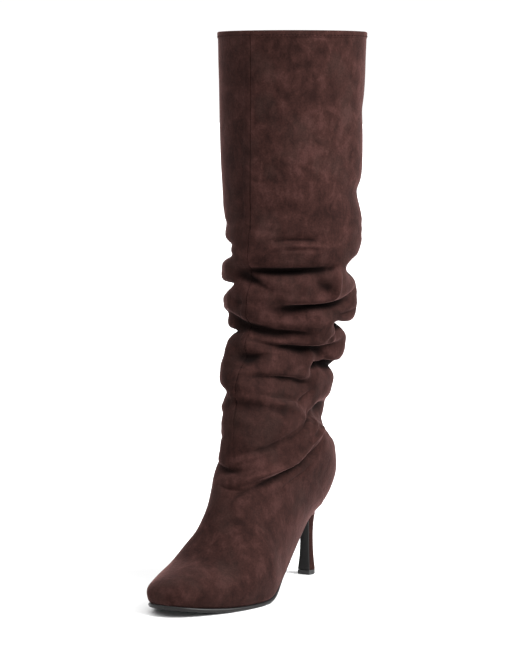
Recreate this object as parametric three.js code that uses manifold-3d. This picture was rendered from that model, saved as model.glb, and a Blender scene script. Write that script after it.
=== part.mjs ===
// A wearer's left knee-high boot with a slouched suede shaft and a thin high heel.
// Millimetres. The origin is the middle of the heel's ground face. +Z is up, the toe points to -Y
// and +X is the outer (lateral) side. Along the foot, "along" runs from the rearmost bulge of the
// heel to the toe, and "across" runs from the foot's centre line to the outer side.

import * as THREE from 'three';
import { mergeVertices } from 'three/addons/utils/BufferGeometryUtils.js';
import Module from 'manifold-3d';

// Driving sizes
const footLength = 236;
const ballWidth = 84;
const instepHeight = 100;
const heelHeight = 57;
const bootHeight = 465;
const collarWidth = 130;
const toeSpring = 7;
const wall = 1.8;
const clearance = 0.3;
const soleThickness = 3.5;
const waistThickness = 2.2;
const soleMargin = 0.7;
const waistInset = 1.3;
const soleBevel = 1.0;
const insoleThickness = 2;
const insoleToeGap = 4;
const creaseDepth = 10;
const creaseWidth = 6.5;
const hemHeight = 5;
const hemStep = 0.5;
const seamWidth = 6.5;
const seamStep = 0.6;
const heelTipWidth = 14;
const heelTipLength = 12.5;
const heelSetback = 20;
const heelBreast = 31;
const topLiftHeight = 4;
const breastThickness = 1.2;
const columnsPerSide = 16;

const shaftHeight = bootHeight - heelHeight;

// A table is a list of rows, read by the names of its columns
function table(columns, rows) {
  return rows.map((row) => Object.fromEntries(columns.map((name, i) => [name, row[i]])));
}

// The bottom edge of the upper from heel to toe. Shares of the foot's length, of the rise from the
// sole to the heel, and of the toe spring
const edgeProfile = table(['along', 'rise', 'spring'], [
  [0.000, 1.020, 0],
  [0.047, 1.000, 0],
  [0.110, 0.965, 0],
  [0.180, 0.890, 0],
  [0.260, 0.730, 0],
  [0.340, 0.535, 0],
  [0.420, 0.335, 0],
  [0.500, 0.165, 0],
  [0.570, 0.050, 0],
  [0.630, 0.000, 0],
  [0.720, 0.000, 0],
  [0.800, 0.000, 0.11],
  [0.900, 0.000, 0.45],
  [1.000, 0.000, 1],
]);

// The plan outline of that edge. Half widths on the outer and inner side are shares of the ball width
const outline = table(['along', 'outer', 'inner'], [
  [0.047, 0.000, 0.000],
  [0.055, 0.040, 0.040],
  [0.070, 0.068, 0.068],
  [0.085, 0.088, 0.088],
  [0.110, 0.120, 0.120],
  [0.180, 0.175, 0.175],
  [0.260, 0.235, 0.215],
  [0.360, 0.300, 0.235],
  [0.460, 0.370, 0.250],
  [0.540, 0.430, 0.290],
  [0.600, 0.465, 0.345],
  [0.660, 0.475, 0.405],
  [0.720, 0.450, 0.450],
  [0.780, 0.410, 0.465],
  [0.840, 0.350, 0.440],
  [0.900, 0.270, 0.382],
  [0.950, 0.180, 0.320],
  [0.980, 0.100, 0.245],
  [0.995, 0.000, 0.150],
  [1.000, -0.050, 0.050],
]);

// Sections of the foot from toe to ankle, each open at the bottom edge. back and front are shares of
// the length, lift is the front point's height over the edge as a share of the instep height, outer
// and inner are the swell beyond the edge as shares of the ball width, wide is where the section is
// widest, keel how straight it runs from there to the edge, from 0 for round to 1, and rings is how
// many rings of faces lead on to the next section
const footSections = table(['back', 'front', 'lift', 'outer', 'inner', 'wide', 'keel', 'rings'], [
  [1.000, 1.0000, 0.005, 0.000, 0.000, 0.50, 1.0, 1],
  [0.992, 0.9975, 0.075, 0.004, 0.004, 0.45, 1.0, 1],
  [0.972, 0.985, 0.135, 0.012, 0.008, 0.42, 1.0, 1],
  [0.930, 0.955, 0.197, 0.024, 0.012, 0.40, 1.0, 1],
  [0.865, 0.895, 0.268, 0.034, 0.014, 0.38, 1.0, 2],
  [0.775, 0.813, 0.362, 0.040, 0.024, 0.36, 1.0, 2],
  [0.680, 0.747, 0.515, 0.044, 0.038, 0.34, 1.0, 2],
  [0.580, 0.698, 0.670, 0.050, 0.060, 0.34, 1.0, 2],
  [0.470, 0.662, 0.820, 0.070, 0.112, 0.36, 1.0, 2],
  [0.360, 0.636, 0.935, 0.112, 0.154, 0.42, 1.0, 2],
  [0.260, 0.616, 1.040, 0.170, 0.203, 0.46, 0.9, 1],
  [0.180, 0.603, 1.145, 0.228, 0.252, 0.48, 0.7, 1],
  [0.110, 0.596, 1.235, 0.288, 0.300, 0.49, 0.55, 1],
  [0.070, 0.593, 1.295, 0.350, 0.346, 0.50, 0.4, 1],
  [0.047, 0.591, 1.340, 0.418, 0.400, 0.50, 0.3, 1],
]);

// Closed sections from the heel's bulge to the collar. back and front are shares of the foot length,
// the heights are shares of the shaft, outer and inner are half widths and shift is the seam's place,
// all three as shares of the collar's width
const legSections = table([
  'back', 'backUp', 'front', 'frontUp', 'outer', 'inner', 'keel', 'shift', 'rings',
], [
  [0.008, 0.028, 0.590, 0.240, 0.292, 0.276, 0.12, 0, 2],
  [-0.014, 0.066, 0.588, 0.262, 0.303, 0.294, 0.03, 0, 2],
  [-0.013, 0.110, 0.583, 0.287, 0.288, 0.315, 0, 0, 3],
  [0.024, 0.155, 0.574, 0.312, 0.237, 0.326, 0, 0, 3],
  [0.036, 0.205, 0.557, 0.340, 0.264, 0.322, 0, 0, 4],
  [0.027, 0.260, 0.538, 0.375, 0.324, 0.310, 0, 0, 5],
  [0.008, 0.330, 0.516, 0.425, 0.412, 0.325, 0, -0.008, 6],
  [-0.018, 0.410, 0.503, 0.480, 0.480, 0.387, 0, -0.008, 7],
  [-0.038, 0.500, 0.490, 0.550, 0.483, 0.412, 0, -0.009, 6],
  [-0.054, 0.600, 0.474, 0.640, 0.482, 0.412, 0, -0.009, 4],
  [-0.062, 0.710, 0.470, 0.740, 0.477, 0.428, 0, -0.009, 2],
  [-0.062, 0.820, 0.467, 0.840, 0.488, 0.438, 0, -0.009, 2],
  [-0.062, 0.920, 0.467, 0.930, 0.499, 0.446, 0, -0.009, 2],
  [-0.062, 1.000, 0.467, 1.000, 0.505, 0.456, 0, -0.009, 0],
]);

// The creases of the slouched shaft, from the top down, a row for each. up is the height and angle
// the place round the leg, in degrees from the front towards the outer side, span the half length in
// degrees, depth and width shares of the crease sizes, tilt the rise over a quarter turn and bow the
// rise at the ends, as shares of the shaft, and sag how far the fabric above hangs over, as a share
// of the crease's depth. A negative depth is a ridge
const creases = table(['up', 'angle', 'span', 'depth', 'width', 'tilt', 'bow', 'sag'], [
  [0.841, 122, 50, 0.15, 2.50, 0.000, 0.000, 0.00],
  [0.673, 118, 55, 0.55, 2.50, 0.000, 0.000, 0.10],
  [0.669, -120, 60, 0.30, 2.80, 0.000, 0.000, 0.10],
  [0.640, 10, 45, 0.20, 1.85, 0.022, 0.000, 0.10],
  [0.610, -62, 50, 0.40, 1.70, 0.000, 0.000, 0.20],
  [0.570, -66, 56, 1.00, 0.85, 0.000, 0.000, 0.10],
  [0.549, -66, 56, 1.00, 0.85, 0.000, 0.000, 0.10],
  [0.527, 180, 44, 0.70, 1.08, 0.000, 0.000, 0.30],
  [0.525, 32, 56, 1.25, 1.20, 0.000, -0.004, 0.35],
  [0.524, 128, 48, 1.70, 1.60, 0.007, 0.000, 0.06],
  [0.493, -100, 58, 0.80, 1.08, 0.000, 0.000, 0.35],
  [0.501, 2, 30, 0.70, 1.10, -0.068, 0.000, 0.00],
  [0.482, -66, 60, 1.70, 0.95, 0.010, 0.008, 0.20],
  [0.463, 182, 44, 0.70, 1.08, 0.000, 0.000, 0.30],
  [0.449, 59, 60, 1.70, 1.60, 0.004, 0.007, 0.35],
  [0.434, -95, 65, 0.90, 1.00, -0.018, 0.000, 0.40],
  [0.4095, 16, 68, 1.40, 1.50, -0.037, 0.000, 0.35],
  [0.400, 130, 52, 2.50, 1.00, 0.007, 0.010, 0.18],
  [0.397, -132, 48, 1.50, 1.08, 0.000, 0.007, 0.30],
  [0.392, -48, 50, 1.10, 0.92, 0.009, 0.007, 0.25],
  [0.377, -62, 30, 0.40, 0.85, 0.000, 0.000, 0.40],
  [0.354, 64, 62, 1.45, 1.50, -0.014, 0.024, 0.35],
  [0.360, 180, 40, 0.80, 1.00, 0.000, 0.000, 0.30],
  [0.356, 8, 34, 0.55, 1.30, -0.045, 0.000, 0.40],
  [0.355, -88, 68, 0.65, 0.92, -0.007, 0.000, 0.40],
  [0.321, -130, 50, 1.40, 1.08, 0.000, -0.007, 0.25],
  [0.316, 118, 48, 1.80, 1.08, -0.009, -0.005, 0.22],
  [0.299, 46, 55, 0.80, 1.00, -0.029, 0.000, 0.40],
  [0.287, -78, 56, 0.80, 0.92, 0.000, 0.005, 0.40],
  [0.279, 184, 42, 0.70, 1.00, 0.000, 0.000, 0.30],
  [0.272, -52, 50, 1.20, 1.35, 0.000, 0.005, 0.20],
  [0.248, 18, 48, 0.50, 1.35, -0.049, -0.007, 0.20],
  [0.245, -132, 48, 0.90, 1.23, 0.000, 0.000, 0.25],
  [0.230, 140, 32, 0.60, 1.38, 0.000, 0.000, 0.20],
  [0.228, -45, 34, 0.40, 0.92, 0.000, 0.000, 0.30],
  [0.221, 92, 56, 0.28, 0.80, 0.029, 0.000, 0.30],
  [0.199, 180, 46, 0.50, 1.38, 0.000, 0.000, 0.20],
  [0.167, 26, 32, 0.35, 0.92, 0.066, 0.000, 0.30],
  [0.167, -55, 42, 0.50, 1.08, 0.000, 0.000, 0.30],
  [0.164, -92, 62, 0.70, 1.08, -0.075, 0.000, 0.35],
  [0.132, 48, 46, -0.30, 1.00, 0.066, 0.005, 0.00],
  [0.125, -8, 32, 0.50, 0.92, -0.013, 0.000, 0.40],
  [0.115, 54, 62, 0.50, 1.00, 0.088, 0.005, 0.25],
  [0.113, -78, 48, 0.50, 1.00, -0.066, 0.000, 0.35],
]);

// Where the foot rests inside: the height of the insole over the bottom edge, as a share of the heel
const insoleLift = table(['along', 'lift'], [
  [0.00, 0.150],
  [0.10, 0.140],
  [0.20, 0.095],
  [0.30, 0.052],
  [0.42, 0.030],
  [0.55, 0.014],
  [1.00, 0.014],
]);

// Sections of the heel from the top lift up to the edge of the upper. up is a share of the height
// between them, width a share of the tip's width, front and back shares of the tip's length measured
// from the middle of the tip, and hollow how far the flat front is drawn in, as a share of its width
const heelSections = table(['up', 'width', 'back', 'front', 'hollow'], [
  [0.00, 1.00, 0.60, 0.50, 0.02],
  [0.08, 0.94, 0.56, 0.47, 0.03],
  [0.22, 0.84, 0.49, 0.42, 0.05],
  [0.40, 0.77, 0.44, 0.39, 0.07],
  [0.58, 0.745, 0.44, 0.39, 0.08],
  [0.72, 0.77, 0.48, 0.42, 0.08],
  [0.84, 0.86, 0.55, 0.52, 0.06],
  [0.93, 0.99, 0.61, 0.68, 0.04],
]);

// Curves through a table's rows, smooth and without overshoot
function curve(rows, key, value) {
  const x = rows.map((row) => row[key]);
  const y = rows.map((row) => row[value]);
  const last = x.length - 1;
  const step = x.slice(1).map((end, i) => end - x[i]);
  const slope = step.map((length, i) => (y[i + 1] - y[i]) / length);
  const tangent = x.map((_, i) => {
    if (i === 0) return slope[0];
    if (i === last) return slope[last - 1];
    if (slope[i - 1] * slope[i] <= 0) return 0;
    const before = 2 * step[i] + step[i - 1];
    const after = step[i] + 2 * step[i - 1];
    return (before + after) / (before / slope[i - 1] + after / slope[i]);
  });
  return (at) => {
    const clamped = Math.min(Math.max(at, x[0]), x[last]);
    let i = 0;
    while (i < last - 1 && clamped >= x[i + 1]) i += 1;
    const t = (clamped - x[i]) / step[i];
    const rise = t * t * (3 - 2 * t);
    const leaving = step[i] * tangent[i] * t * (1 - t) ** 2;
    const arriving = step[i] * tangent[i + 1] * t * t * (t - 1);
    return y[i] * (1 - rise) + y[i + 1] * rise + leaving + arriving;
  };
}

const edgeRise = curve(edgeProfile, 'along', 'rise');
const edgeSpring = curve(edgeProfile, 'along', 'spring');
const outlineOuter = curve(outline, 'along', 'outer');
const outlineInner = curve(outline, 'along', 'inner');
const seatLift = curve(insoleLift, 'along', 'lift');

function edgeHeight(along) {
  const share = along / footLength;
  return soleThickness + (heelHeight - soleThickness) * edgeRise(share) + toeSpring * edgeSpring(share);
}

function seatHeight(along) {
  return edgeHeight(along) + clearance + heelHeight * seatLift(along / footLength);
}

// Sections in millimetres, the foot's and then the leg's, as one list that the levels run through
function sectionRows() {
  const foot = footSections.map((row) => {
    const back = row.back * footLength;
    const front = row.front * footLength;
    const outerEdge = ballWidth * outlineOuter(row.back);
    const innerEdge = ballWidth * outlineInner(row.back);
    return {
      back,
      backUp: edgeHeight(back),
      front,
      frontUp: edgeHeight(front) + row.lift * instepHeight,
      outer: outerEdge + row.outer * ballWidth,
      inner: innerEdge + row.inner * ballWidth,
      outerEdge,
      innerEdge,
      wide: row.wide,
      keel: row.keel,
      shift: 0,
    };
  });
  const leg = legSections.map((row) => ({
    back: row.back * footLength,
    backUp: heelHeight + row.backUp * shaftHeight,
    front: row.front * footLength,
    frontUp: heelHeight + row.frontUp * shaftHeight,
    outer: row.outer * collarWidth,
    inner: row.inner * collarWidth,
    outerEdge: 0,
    innerEdge: 0,
    wide: 0.5,
    keel: row.keel,
    shift: row.shift * collarWidth,
  }));
  return [...foot, ...leg].map((row, level) => ({ ...row, level }));
}

const rows = sectionRows();
const rowKeys = Object.keys(rows[0]).filter((key) => key !== 'level');
const rowCurves = Object.fromEntries(rowKeys.map((key) => [key, curve(rows, 'level', key)]));

// Between its rows an open section still starts on the bottom edge's own profile and outline
function sectionAt(level) {
  const section = Object.fromEntries(rowKeys.map((key) => [key, rowCurves[key](level)]));
  if (level < footSections.length - 1) {
    section.backUp = edgeHeight(section.back);
    section.outerEdge = ballWidth * outlineOuter(section.back / footLength);
    section.innerEdge = ballWidth * outlineInner(section.back / footLength);
  }
  return section;
}

// Levels between the sections, as many as their rings say, and the hem's step just under the collar.
// A level closer to the hem than the least step is left out
const leastStep = 0.1;

function levelList() {
  const counts = [...footSections, ...legSections].map((row) => row.rings);
  const levels = [];
  counts.forEach((count, level) => {
    for (let ring = 0; ring < count; ring += 1) levels.push(level + ring / count);
  });
  const top = counts.length - 1;
  const lastRise = rows[top].backUp - rows[top - 1].backUp;
  const hem = top - hemHeight / lastRise;
  const below = levels.filter((level) => level < hem - leastStep);
  return [...below, hem - hemStep / lastRise, hem, top];
}

// One side of a section, from its front point round to its bottom edge or back: evenly spaced points
// as distances back from the front along the section, and out from the centre line
function sideProfile(section, outerSide) {
  const length = Math.hypot(section.front - section.back, section.frontUp - section.backUp);
  const widest = outerSide ? section.outer : section.inner;
  const edge = outerSide ? section.outerEdge : section.innerEdge;
  const samples = 32;
  const profile = [];
  for (let i = 0; i <= samples; i += 1) {
    const turn = (Math.PI / 2) * (i / samples);
    const ahead = section.wide + (1 - section.wide) * Math.cos(turn);
    profile.push({ from: length * ahead, out: widest * Math.sin(turn) });
  }
  for (let i = 1; i <= samples; i += 1) {
    const turn = (Math.PI / 2) * (i / samples);
    const down = section.keel * (i / samples) + (1 - section.keel) * Math.sin(turn);
    profile.push({
      from: length * section.wide * (1 - down),
      out: edge + (widest - edge) * Math.cos(turn),
    });
  }
  return profile;
}

// How far out the front seam's step lies, as a share of the seam's width
const seamStepShare = 0.3;

// Columns round one side, as shares of the way from front to back, with the front seam's own columns
function columnShares() {
  const seam = seamWidth / (1.5 * collarWidth);
  const shares = [0, seam * seamStepShare, seam];
  const rest = columnsPerSide - 2;
  for (let i = 1; i <= rest; i += 1) shares.push(seam + (1 - seam) * (i / rest));
  return shares;
}

const shares = columnShares();

function pointsAlong(profile) {
  const lengths = [0];
  for (let i = 1; i < profile.length; i += 1) {
    const step = Math.hypot(profile[i].from - profile[i - 1].from, profile[i].out - profile[i - 1].out);
    lengths.push(lengths[i - 1] + step);
  }
  const total = lengths[lengths.length - 1];
  return shares.map((share) => {
    const wanted = share * total;
    let i = 0;
    while (i < profile.length - 2 && lengths[i + 1] < wanted) i += 1;
    const t = Math.min(1, (wanted - lengths[i]) / Math.max(lengths[i + 1] - lengths[i], 1e-9));
    const a = profile[i];
    const b = profile[i + 1];
    return { from: a.from + (b.from - a.from) * t, out: a.out + (b.out - a.out) * t };
  });
}

// A ring of points: inner side from the edge up to the front, then the outer side down to the edge
function baseRing(section) {
  const run = section.front - section.back;
  const rise = section.frontUp - section.backUp;
  const length = Math.hypot(run, rise);
  const place = (point, sign) => new THREE.Vector3(
    section.shift + sign * point.out,
    heelSetback - section.back - (run / length) * point.from,
    section.backUp + (rise / length) * point.from,
  );
  const outerSide = pointsAlong(sideProfile(section, true)).map((point) => place(point, 1));
  const innerSide = pointsAlong(sideProfile(section, false)).map((point) => place(point, -1));
  return [...innerSide.reverse(), ...outerSide.slice(1)];
}

// Mean normals of a grid of rings, pointing away from the leg
function gridNormals(rings) {
  const normals = rings.map((ring) => ring.map(() => new THREE.Vector3()));
  const edgeA = new THREE.Vector3();
  const edgeB = new THREE.Vector3();
  for (let i = 0; i + 1 < rings.length; i += 1) {
    for (let j = 0; j + 1 < rings[i].length; j += 1) {
      const corners = [[i, j], [i, j + 1], [i + 1, j + 1], [i + 1, j]];
      edgeA.subVectors(rings[i + 1][j + 1], rings[i][j]);
      edgeB.subVectors(rings[i + 1][j], rings[i][j + 1]);
      const face = new THREE.Vector3().crossVectors(edgeA, edgeB);
      corners.forEach(([a, b]) => normals[a][b].add(face));
    }
  }
  normals.forEach((row, i) => {
    const end = row.length - 1;
    if (rings[i][0].distanceTo(rings[i][end]) < 1e-6) {
      row[0].add(row[end]);
      row[end].copy(row[0]);
    }
    row.forEach((normal) => normal.normalize());
  });
  return normals;
}

function angleRound(section, point) {
  const run = section.front - section.back;
  const rise = section.frontUp - section.backUp;
  const length = Math.hypot(run, rise);
  const along = heelSetback - point.y - (section.front + section.back) / 2;
  const up = point.z - (section.frontUp + section.backUp) / 2;
  const ahead = (along * run + up * rise) / length;
  return THREE.MathUtils.radToDeg(Math.atan2(point.x - section.shift, ahead));
}

// How far a point is pressed in by the creases, and how far it hangs down
// A crease's cross section: its reach over and under its line as shares of its width, how fast it
// fades, the depth left out at its rim, and the reach of the roll that hangs over it
const reachOver = 0.75;
const reachUnder = 1.15;
const creaseFade = 1.5;
const rimDepth = 0.01;
const rollReach = 0.9;

function creaseAt(angle, height) {
  let press = 0;
  let hang = 0;
  for (const crease of creases) {
    const turn = THREE.MathUtils.euclideanModulo(angle - crease.angle + 180, 360) - 180;
    const share = turn / crease.span;
    if (Math.abs(share) >= 1) continue;
    const fade = (1 - share * share) ** creaseFade;
    const line = crease.up + crease.tilt * (turn / 90) + crease.bow * share * share;
    const over = height - heelHeight - line * shaftHeight;
    const width = crease.width * creaseWidth;
    const depth = crease.depth * creaseDepth * fade;
    const t = over / (width * (over > 0 ? reachOver : reachUnder));
    press += depth * Math.max((1 + t * t) ** -creaseFade - rimDepth, 0);
    hang += Math.max(crease.sag, 0) * depth * Math.exp(-(((over / width - 1) / rollReach) ** 2));
  }
  return { press, hang: Math.max(hang, 0) };
}

// The raised seam up the front of the shaft and the hem's step at the collar
function seamAt(column, height) {
  const middle = shares.length - 1;
  const inSeam = column === middle || column === middle - 1;
  const up = (height - heelHeight) / shaftHeight;
  const seam = inSeam ? seamStep * THREE.MathUtils.smoothstep(up, 0.17, 0.25) : 0;
  const hem = height >= bootHeight - hemHeight - 1e-6 ? hemStep : 0;
  return seam + hem;
}

const levels = levelList();
const sections = levels.map(sectionAt);

function outerRings() {
  const base = sections.map(baseRing);
  const normals = gridNormals(base);
  return base.map((ring, i) => ring.map((point, j) => {
    const { press, hang } = creaseAt(angleRound(sections[i], point), point.z);
    const moved = point.clone().addScaledVector(normals[i][j], seamAt(j, point.z) - press);
    moved.z -= hang;
    return moved;
  }));
}

function isOpen(ring) {
  return ring[0].distanceTo(ring[ring.length - 1]) > 1e-6;
}

// The same rings moved in by a thickness. The bottom edge stays on its profile and the collar level
function insetRings(rings, thickness) {
  const normals = gridNormals(rings);
  return rings.map((ring, i) => ring.map((point, j) => {
    if (i === 0) return point.clone().setY(point.y + thickness);
    const moved = point.clone().addScaledVector(normals[i][j], -thickness);
    if (i === rings.length - 1) moved.z = point.z;
    if (isOpen(ring) && (j === 0 || j === ring.length - 1)) {
      const level = normals[i][j].clone().setZ(0);
      moved.copy(point).addScaledVector(level, -thickness / level.lengthSq());
      moved.z = edgeHeight(heelSetback - moved.y);
    }
    return moved;
  }));
}

// Geometry helpers: quads and fans gathered into one closed, merged mesh
function geometryOf(triangles) {
  const positions = new Float32Array(triangles.flat().flatMap((point) => [point.x, point.y, point.z]));
  const soup = new THREE.BufferGeometry();
  soup.setAttribute('position', new THREE.BufferAttribute(positions, 3));
  const merged = mergeVertices(soup, 1e-4);
  const index = merged.getIndex().array;
  const kept = [];
  for (let i = 0; i < index.length; i += 3) {
    const [a, b, c] = [index[i], index[i + 1], index[i + 2]];
    if (a !== b && b !== c && c !== a) kept.push(a, b, c);
  }
  merged.setIndex(kept);
  return merged;
}

function quad(list, a, b, c, d) {
  list.push([a, b, c], [a, c, d]);
}

function closedLoops(loops, endsInEdge = false) {
  const triangles = [];
  const count = loops[0].length;
  for (let i = 0; i + 1 < loops.length; i += 1) {
    for (let j = 0; j < count; j += 1) {
      const next = (j + 1) % count;
      quad(triangles, loops[i][j], loops[i][next], loops[i + 1][next], loops[i + 1][j]);
    }
  }
  const middleOf = (loop) => loop.reduce((sum, point) => sum.add(point), new THREE.Vector3())
    .divideScalar(loop.length);
  const first = loops[0];
  const last = loops[loops.length - 1];
  for (let j = 0; j < count; j += 1) {
    const next = (j + 1) % count;
    triangles.push([middleOf(first), first[next], first[j]]);
    if (!endsInEdge) triangles.push([middleOf(last), last[j], last[next]]);
  }
  return geometryOf(triangles);
}

// The upper: outer skin, inner skin, the collar's rim and the bottom edge
function upperGeometry(outer) {
  const inner = insetRings(outer, wall);
  const triangles = [];
  const end = outer[0].length - 1;
  const last = outer.length - 1;
  for (let i = 0; i < last; i += 1) {
    for (let j = 0; j < end; j += 1) {
      quad(triangles, outer[i][j], outer[i][j + 1], outer[i + 1][j + 1], outer[i + 1][j]);
      quad(triangles, inner[i][j], inner[i + 1][j], inner[i + 1][j + 1], inner[i][j + 1]);
    }
    if (isOpen(outer[i]) || i === 0) {
      quad(triangles, outer[i][0], outer[i + 1][0], inner[i + 1][0], inner[i][0]);
      quad(triangles, outer[i][end], inner[i][end], inner[i + 1][end], outer[i + 1][end]);
    }
  }
  for (let j = 0; j < end; j += 1) {
    quad(triangles, outer[last][j], outer[last][j + 1], inner[last][j + 1], inner[last][j]);
  }
  return geometryOf(triangles);
}

// A band under the foot between two heights, from behind the heel, as wide as anything it has to cut
function bandUnderFoot(to, topOf, bottomOf) {
  const step = footLength / 24;
  const stations = [];
  for (let along = -3 * step; along < to; along += step) stations.push(along);
  const loops = [...stations, to].map((along) => [
    new THREE.Vector3(ballWidth, heelSetback - along, topOf(along)),
    new THREE.Vector3(-ballWidth, heelSetback - along, topOf(along)),
    new THREE.Vector3(-ballWidth, heelSetback - along, bottomOf(along)),
    new THREE.Vector3(ballWidth, heelSetback - along, bottomOf(along)),
  ]);
  return closedLoops(loops);
}

const manifold = await Module();
manifold.setup();

function solidOf(geometry) {
  return new manifold.Manifold(new manifold.Mesh({
    numProp: 3,
    vertProperties: geometry.getAttribute('position').array,
    triVerts: Uint32Array.from(geometry.getIndex().array),
  }));
}

function geometryFrom(solid) {
  const mesh = solid.getMesh();
  const geometry = new THREE.BufferGeometry();
  geometry.setAttribute('position', new THREE.BufferAttribute(Float32Array.from(mesh.vertProperties), 3));
  geometry.setIndex(Array.from(mesh.triVerts));
  return geometry;
}

// The space inside the upper, with a clearance, up to the ankle
function insideSolid(outer) {
  const rings = insetRings(outer, wall + clearance);
  return solidOf(closedLoops(rings));
}

function insoleGeometry(inside) {
  const underside = (along) => seatHeight(along) - insoleThickness;
  const band = bandUnderFoot(footLength - insoleToeGap, seatHeight, underside);
  return geometryFrom(inside.intersect(solidOf(band)));
}

// The outsole follows the upper's own bottom edge from the toe back to the heel's breast
function solePairs(rings) {
  const pairs = rings.filter((ring, i) => i === 0 || isOpen(ring)).map((ring) => ({
    inner: ring[0],
    outer: ring[ring.length - 1],
  }));
  const breastY = heelSetback - heelBreast - clearance;
  const ahead = pairs.filter((pair) => pair.outer.y < breastY);
  const behind = pairs[ahead.length];
  const last = ahead[ahead.length - 1];
  const t = (breastY - last.outer.y) / (behind.outer.y - last.outer.y);
  const end = {
    outer: last.outer.clone().lerp(behind.outer, t),
    inner: last.inner.clone().lerp(behind.inner, t),
  };
  return [...ahead, end];
}

// Where the sole's waist ends and its ball and its toe begin, as shares of the foot's length, and
// how much of its margin the sole loses at the toe
const waistEnd = 0.46;
const ballStart = 0.60;
const toeStart = 0.84;
const toeLoss = 0.6;

function soleThicknessAt(along) {
  const full = soleThickness - clearance;
  const share = THREE.MathUtils.smoothstep(along / footLength, waistEnd, ballStart);
  return waistThickness + (full - waistThickness) * share;
}

// How far the sole stands out past the upper: under the ball, but hardly at the toe, and drawn in
// under the waist
function marginAt(along) {
  const ball = THREE.MathUtils.smoothstep(along / footLength, waistEnd, ballStart);
  const toe = THREE.MathUtils.smoothstep(along / footLength, toeStart, 1);
  return (soleMargin + waistInset) * ball - waistInset - toeLoss * soleMargin * toe;
}

function withMargin(points, side) {
  return points.map((point, i) => {
    const margin = marginAt(heelSetback - point.y);
    if (i === 0) return point.clone().setY(point.y - margin);
    const toe = points[i - 1];
    const heel = points[Math.min(i + 1, points.length - 1)];
    const outward = new THREE.Vector3(side * (heel.y - toe.y), side * (toe.x - heel.x), 0).normalize();
    return point.clone().addScaledVector(outward, margin);
  });
}

function outsoleGeometry(rings) {
  const pairs = solePairs(rings);
  const outerEdge = withMargin(pairs.map((pair) => pair.outer), 1);
  const innerEdge = withMargin(pairs.map((pair) => pair.inner), -1);
  const across = [0, 0.25, 0.5, 0.75, 1];
  const loops = outerEdge.map((outerPoint, i) => {
    const innerPoint = innerEdge[i];
    const thick = soleThicknessAt(heelSetback - outerPoint.y);
    const bevel = Math.min(soleBevel, thick / 2);
    const width = outerPoint.distanceTo(innerPoint);
    const bevelShare = bevel / Math.max(width, 4 * bevel);
    const place = (share, drop) => {
      const point = outerPoint.clone().lerp(innerPoint, share);
      return point.setZ(point.z - clearance - drop);
    };
    return [
      ...across.map((share) => place(share, 0)),
      place(1, thick - bevel),
      place(1 - bevelShare, thick),
      ...across.slice(1, -1).reverse().map((share) => place(share, thick)),
      place(bevelShare, thick),
      place(0, thick - bevel),
    ];
  });
  return closedLoops(loops.reverse(), true);
}

// A heel section: a round back and a slightly hollow flat front
const roundSteps = 14;
const flatSteps = 4;
const flatShare = 0.80;
const cornerShare = 0.3;
const topHollow = 0.3;
const topRoundness = 1.7;
const seatGap = 2 * clearance;
const breastDepth = breastThickness + seatGap;

function heelLoop(row, height, frontInset) {
  const half = (row.width * heelTipWidth) / 2;
  const back = row.back * heelTipLength;
  const front = row.front * heelTipLength - frontInset;
  const corner = cornerShare * front;
  const points = [];
  for (let i = 0; i <= roundSteps; i += 1) {
    const turn = Math.PI * (i / roundSteps);
    const ahead = corner - (back + corner) * Math.sin(turn);
    points.push(new THREE.Vector3(half * Math.cos(turn), -ahead, height));
  }
  for (let i = 0; i <= flatSteps; i += 1) {
    const across = (2 * i) / flatSteps - 1;
    const drawn = row.hollow * 2 * half * (1 - across * across);
    points.push(new THREE.Vector3(flatShare * half * across, drawn - front, height));
  }
  return points;
}

// The heel's top follows the upper's edge from behind the foot to the breast. The neck above it is
// drawn in to pass up inside the wall
function heelTopLoop(inset, rise) {
  const back = footLength * outline[0].along + 3 * inset;
  const front = heelBreast - breastDepth - inset;
  const halfAt = (along, side) => {
    const half = ballWidth * (side > 0 ? outlineOuter : outlineInner)(along / footLength);
    return Math.max(half - inset, 0.05);
  };
  const place = (along, across) => new THREE.Vector3(
    across,
    heelSetback - along,
    edgeHeight(along) - seatGap + rise,
  );
  const points = [];
  for (let i = 0; i <= roundSteps; i += 1) {
    const turn = Math.abs(i - roundSteps / 2) / (roundSteps / 2);
    const side = i < roundSteps / 2 ? 1 : -1;
    const along = back + (front - back) * turn ** topRoundness;
    points.push(place(along, turn === 0 ? 0 : side * halfAt(along, side)));
  }
  for (let i = 0; i <= flatSteps; i += 1) {
    const across = (2 * i) / flatSteps - 1;
    const along = front + topHollow * (1 - across * across);
    points.push(place(along, flatShare * across * halfAt(front, across)));
  }
  return points;
}

function heelTop() {
  return edgeHeight(heelSetback) - seatGap;
}

// The stem, and the block on it that fills the upper's tail under the insole
function heelGeometry(inside) {
  const bottom = topLiftHeight + clearance;
  const top = heelTop();
  const neckInset = wall + 6 * clearance;
  const stem = closedLoops([
    ...heelSections.map((row) => heelLoop(row, bottom + row.up * (top - bottom), breastDepth)),
    heelTopLoop(0, 0),
    heelTopLoop(neckInset, 0),
    heelTopLoop(neckInset, 2 * wall),
  ]);
  const blockFront = heelBreast + heelTipLength;
  const underInsole = (along) => seatHeight(along) - insoleThickness - clearance;
  const band = bandUnderFoot(blockFront, underInsole, () => 0);
  return geometryFrom(inside.intersect(solidOf(band)).add(solidOf(stem)));
}

// The cover of the heel's flat front, a thin sheet from the top lift up to the sole
function breastLoop(frontPoints) {
  const behind = frontPoints.map((point) => point.clone().setY(point.y + breastThickness));
  return [...frontPoints, ...behind.reverse()];
}

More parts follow.
